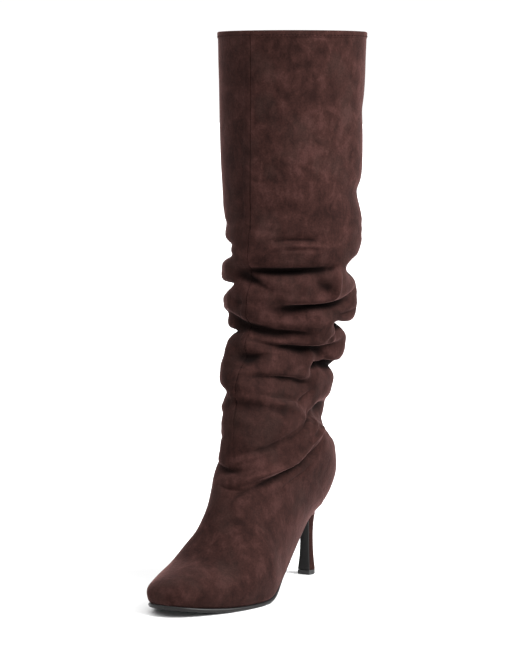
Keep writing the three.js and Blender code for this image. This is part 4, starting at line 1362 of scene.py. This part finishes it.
class BOOT_OT_heel(bpy.types.Operator):
    """Builds the suede-covered heel, its black breast and the top lift"""

    bl_idname = "boot.heel"
    bl_label = "Heel"

    rounding = 0.0006
    breast_rounding = 0.0003
    lift_rounding = 0.0005
    round_steps = 56
    flat_steps = 12
    # the flat front's share of the width, and the share of its distance at which the round back starts
    flat_share = 0.80
    corner_share = 0.3
    # how the top's columns gather at the back, how hollow its front is, and its least half width
    top_roundness = 1.7
    top_hollow = 0.0003
    least_half = 0.00005
    stem_loops = 46
    flare_loops = 14

    def execute(self, context):
        form = shape()
        colours = context.scene.boot_colours
        depth = context.scene.boot_sizes.breast_thickness
        front = depth + form.gap
        bottom = form.lift + form.gap
        top = form.edge_height(form.setback)[0] - form.gap
        heights = bottom + HEEL_SECTIONS["up"] * (top - bottom)
        cover = [self.stem_loop(form, k, height, front) for k, height in enumerate(heights)]
        neck = form.wall + 3 * form.gap
        loops = [
            *self.refined([*cover, self.top_loop(form, front, 0, 0)]),
            self.top_loop(form, front, neck, 0),
            self.top_loop(form, front, neck, 2 * form.wall),
        ]
        suede = suede_material(colours, crested=False)
        heel = bevelled(new_piece("heel_cover", *capped_loft(loops), suede), self.rounding)
        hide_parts("heel")
        stem = [self.stem_loop(form, k, height, 0) for k, height in enumerate(heights)]
        flats = [loop[self.round_steps + 1:] for loop in stem]
        sheet = self.refined([*flats, self.breast_top(form)])
        loops = [np.concatenate([flat, flat[::-1] + (0, depth, 0)]) for flat in sheet]
        edge = sole_edge_material(colours)
        breast = bevelled(new_piece("heel_breast", *capped_loft(loops), edge), self.breast_rounding)
        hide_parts("breast_cover")
        loops = [self.stem_loop(form, 0, height, 0) for height in (0.0, form.lift)]
        rubber = lift_material(colours)
        lift = bevelled(new_piece("top_lift_rubber", *capped_loft(loops), rubber), self.lift_rounding)
        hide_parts("top_lift")
        return {"FINISHED"}

    def refined(self, loops):
        """More loops on a smooth curve through those of the heel's sections and its top."""
        flare = HEEL_SECTIONS["up"][-1]
        stem = np.linspace(0, flare, self.stem_loops)
        ups = np.concatenate([stem, np.linspace(flare, 1, self.flare_loops)[1:]])
        through = curve(np.append(HEEL_SECTIONS["up"], 1.0), np.array(loops).reshape(len(loops), -1))
        return through(ups).reshape(len(ups), -1, 3)

    def across(self):
        """Places across the flat front, from -1 to 1."""
        return np.linspace(-1, 1, self.flat_steps + 1)

    def breast_top(self, form):
        """The breast's top edge, under the end of the sole."""
        half = form.ball * form.outline(form.breast / form.foot)[0, 1]
        x = self.flat_share * self.across() * half
        at_sole = form.edge_height(form.breast)[0] - form.gap
        return np.stack([x, 0 * x + form.setback - form.breast, 0 * x + at_sole], axis=1)

    def stem_loop(self, form, row, height, front_inset):
        """A section of the heel: a round back and a slightly hollow flat front."""
        section = {name: values[row] for name, values in HEEL_SECTIONS.items()}
        half = section["width"] * form.tip_width / 2
        back = section["back"] * form.tip_length
        front = section["front"] * form.tip_length - front_inset
        corner = self.corner_share * front
        turn = np.linspace(0, math.pi, self.round_steps + 1)
        behind = (back + corner) * np.sin(turn) - corner
        across = self.across()
        drawn = section["hollow"] * 2 * half * (1 - across * across)
        x = np.concatenate([half * np.cos(turn), self.flat_share * half * across])
        y = np.concatenate([behind, drawn - front])
        return np.stack([x, y, np.full_like(x, height)], axis=1)

    def top_loop(self, form, depth, inset, rise):
        """The heel's top, on the suede's bottom edge, or drawn in for the neck inside the upper."""
        back = form.foot * OUTLINE["along"][0] + 3 * inset
        front = form.breast - depth - inset
        turn = np.linspace(-1, 1, self.round_steps + 1)
        side = -np.sign(turn)
        along = back + (front - back) * np.abs(turn) ** self.top_roundness
        halves = form.ball * form.outline(along / form.foot)
        half = np.where(side > 0, halves[:, 0], halves[:, 1])
        x = side * np.maximum(half - inset, self.least_half)
        across = self.across()
        flat_along = front + self.top_hollow * (1 - across * across)
        flat_halves = form.ball * form.outline(front / form.foot)[0]
        flat_half = np.where(across > 0, flat_halves[0], flat_halves[1])
        flat_half = np.maximum(flat_half - inset, self.least_half)
        x = np.concatenate([x, self.flat_share * across * flat_half])
        along = np.concatenate([along, flat_along])
        z = form.edge_height(along) - form.gap + rise
        return np.stack([x, form.setback - along, z], axis=1)


class BOOT_OT_stage(bpy.types.Operator):
    """Sets the pale floor, the soft lights and the camera"""

    bl_idname = "boot.stage"
    bl_label = "Stage"

    def execute(self, context):
        scene = context.scene
        stage = scene.boot_stage
        self.lay_floor(scene)
        self.set_surround(scene, stage.surround)
        for name, azimuth, elevation, spread in LIGHTS:
            strength = getattr(stage, name.replace(" ", "_"))
            self.hang_light(name, azimuth, elevation, spread, strength)
        self.place_camera(scene, stage)
        scene.view_settings.view_transform = "Standard"
        return {"FINISHED"}

    @staticmethod
    def lay_floor(scene):
        bpy.ops.mesh.primitive_grid_add(x_subdivisions=8, y_subdivisions=8, size=60)
        floor = bpy.context.object
        floor.name = "floor"
        floor.data.materials.append(floor_material(scene.boot_colours))

    @staticmethod
    def set_surround(scene, strength):
        """Studio walls that are white up to eye level and dimmer overhead."""
        world = bpy.data.worlds.new("studio surround")
        world.use_nodes = True
        tree = world.node_tree
        place = tree.nodes.new("ShaderNodeTexCoord")
        split = tree.nodes.new("ShaderNodeSeparateXYZ")
        ramp = tree.nodes.new("ShaderNodeMapRange")
        background = tree.nodes["Background"]
        background.inputs["Color"].default_value = (1, 1, 1, 1)
        ramp.inputs["From Min"].default_value = WALL_END[0]
        ramp.inputs["From Max"].default_value = WALL_END[1]
        ramp.inputs["To Min"].default_value = WALL_BRIGHTNESS
        ramp.inputs["To Max"].default_value = strength
        tree.links.new(place.outputs["Generated"], split.inputs[0])
        tree.links.new(split.outputs["Z"], ramp.inputs["Value"])
        tree.links.new(ramp.outputs["Result"], background.inputs["Strength"])
        scene.world = world

    @staticmethod
    def hang_light(name, azimuth, elevation, spread, strength):
        """A broad soft light from a direction, counted from the toe towards the outer side."""
        light = bpy.data.lights.new(name, "SUN")
        light.energy = strength
        light.angle = math.radians(spread)
        lamp = bpy.data.objects.new(name, light)
        lamp.location = (0, 0, 2)
        lamp.rotation_euler = (math.radians(90 - elevation), 0, math.radians(azimuth))
        bpy.context.scene.collection.objects.link(lamp)

    @staticmethod
    def place_camera(scene, stage):
        """The photograph's camera: with a framing of 1 as it was, and otherwise on the boot's middle."""
        data = bpy.data.cameras.new("camera")
        data.sensor_width = SENSOR
        data.lens = stage.framing * FOCAL_PIXELS / PHOTO_HEIGHT * SENSOR
        centre_x, centre_y = BOOT_CENTRE
        if stage.framing == 1:
            centre_x, centre_y = PHOTO_WIDTH / 2, PHOTO_HEIGHT / 2
        data.shift_x = stage.framing * (centre_x - PRINCIPAL[0]) / PHOTO_HEIGHT
        data.shift_y = stage.framing * (PRINCIPAL[1] - centre_y) / PHOTO_HEIGHT
        camera = bpy.data.objects.new("camera", data)
        camera.location = (
            stage.distance * math.sin(stage.azimuth),
            TARGET_Y - stage.distance * math.cos(stage.azimuth),
            stage.height,
        )
        camera.rotation_euler = (math.pi / 2 - stage.pitch, 0, stage.azimuth)
        scene.collection.objects.link(camera)
        scene.camera = camera


PIECES = (
    BOOT_OT_upper,
    BOOT_OT_lining,
    BOOT_OT_hem_stitches,
    BOOT_OT_insole,
    BOOT_OT_sole,
    BOOT_OT_heel,
    BOOT_OT_stage,
)


class BOOT_PT_boot(bpy.types.Panel):
    """Lists the boot's sizes, colours and pieces"""

    bl_label = "Slouched boot"
    bl_idname = "BOOT_PT_boot"
    bl_space_type = "VIEW_3D"
    bl_region_type = "UI"
    bl_category = "Boot"

    def draw(self, context):
        for group in GROUPS:
            box = self.layout.box()
            box.label(text=group)
            settings = getattr(context.scene, group)
            for name in settings.bl_rna.properties.keys():
                if name not in ("rna_type", "name"):
                    box.prop(settings, name)
        for piece in PIECES:
            self.layout.operator(piece.bl_idname)


GROUPS = {
    "boot_sizes": BootSizes,
    "boot_folds": BootFolds,
    "boot_colours": BootColours,
    "boot_stage": BootStage,
}


def register():
    for kind in (*GROUPS.values(), *PIECES, BOOT_PT_boot):
        bpy.utils.register_class(kind)
    for name, kind in GROUPS.items():
        setattr(bpy.types.Scene, name, PointerProperty(type=kind))


def unregister():
    for name in GROUPS:
        delattr(bpy.types.Scene, name)
    for kind in (BOOT_PT_boot, *reversed(PIECES), *reversed(GROUPS.values())):
        bpy.utils.unregister_class(kind)


def main():
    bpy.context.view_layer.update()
    register()
    bpy.ops.boot.upper()
    bpy.ops.boot.lining()
    bpy.ops.boot.hem_stitches()
    bpy.ops.boot.insole()
    bpy.ops.boot.sole()
    bpy.ops.boot.heel()
    bpy.ops.boot.stage()


if __name__ == "__main__":
    main()
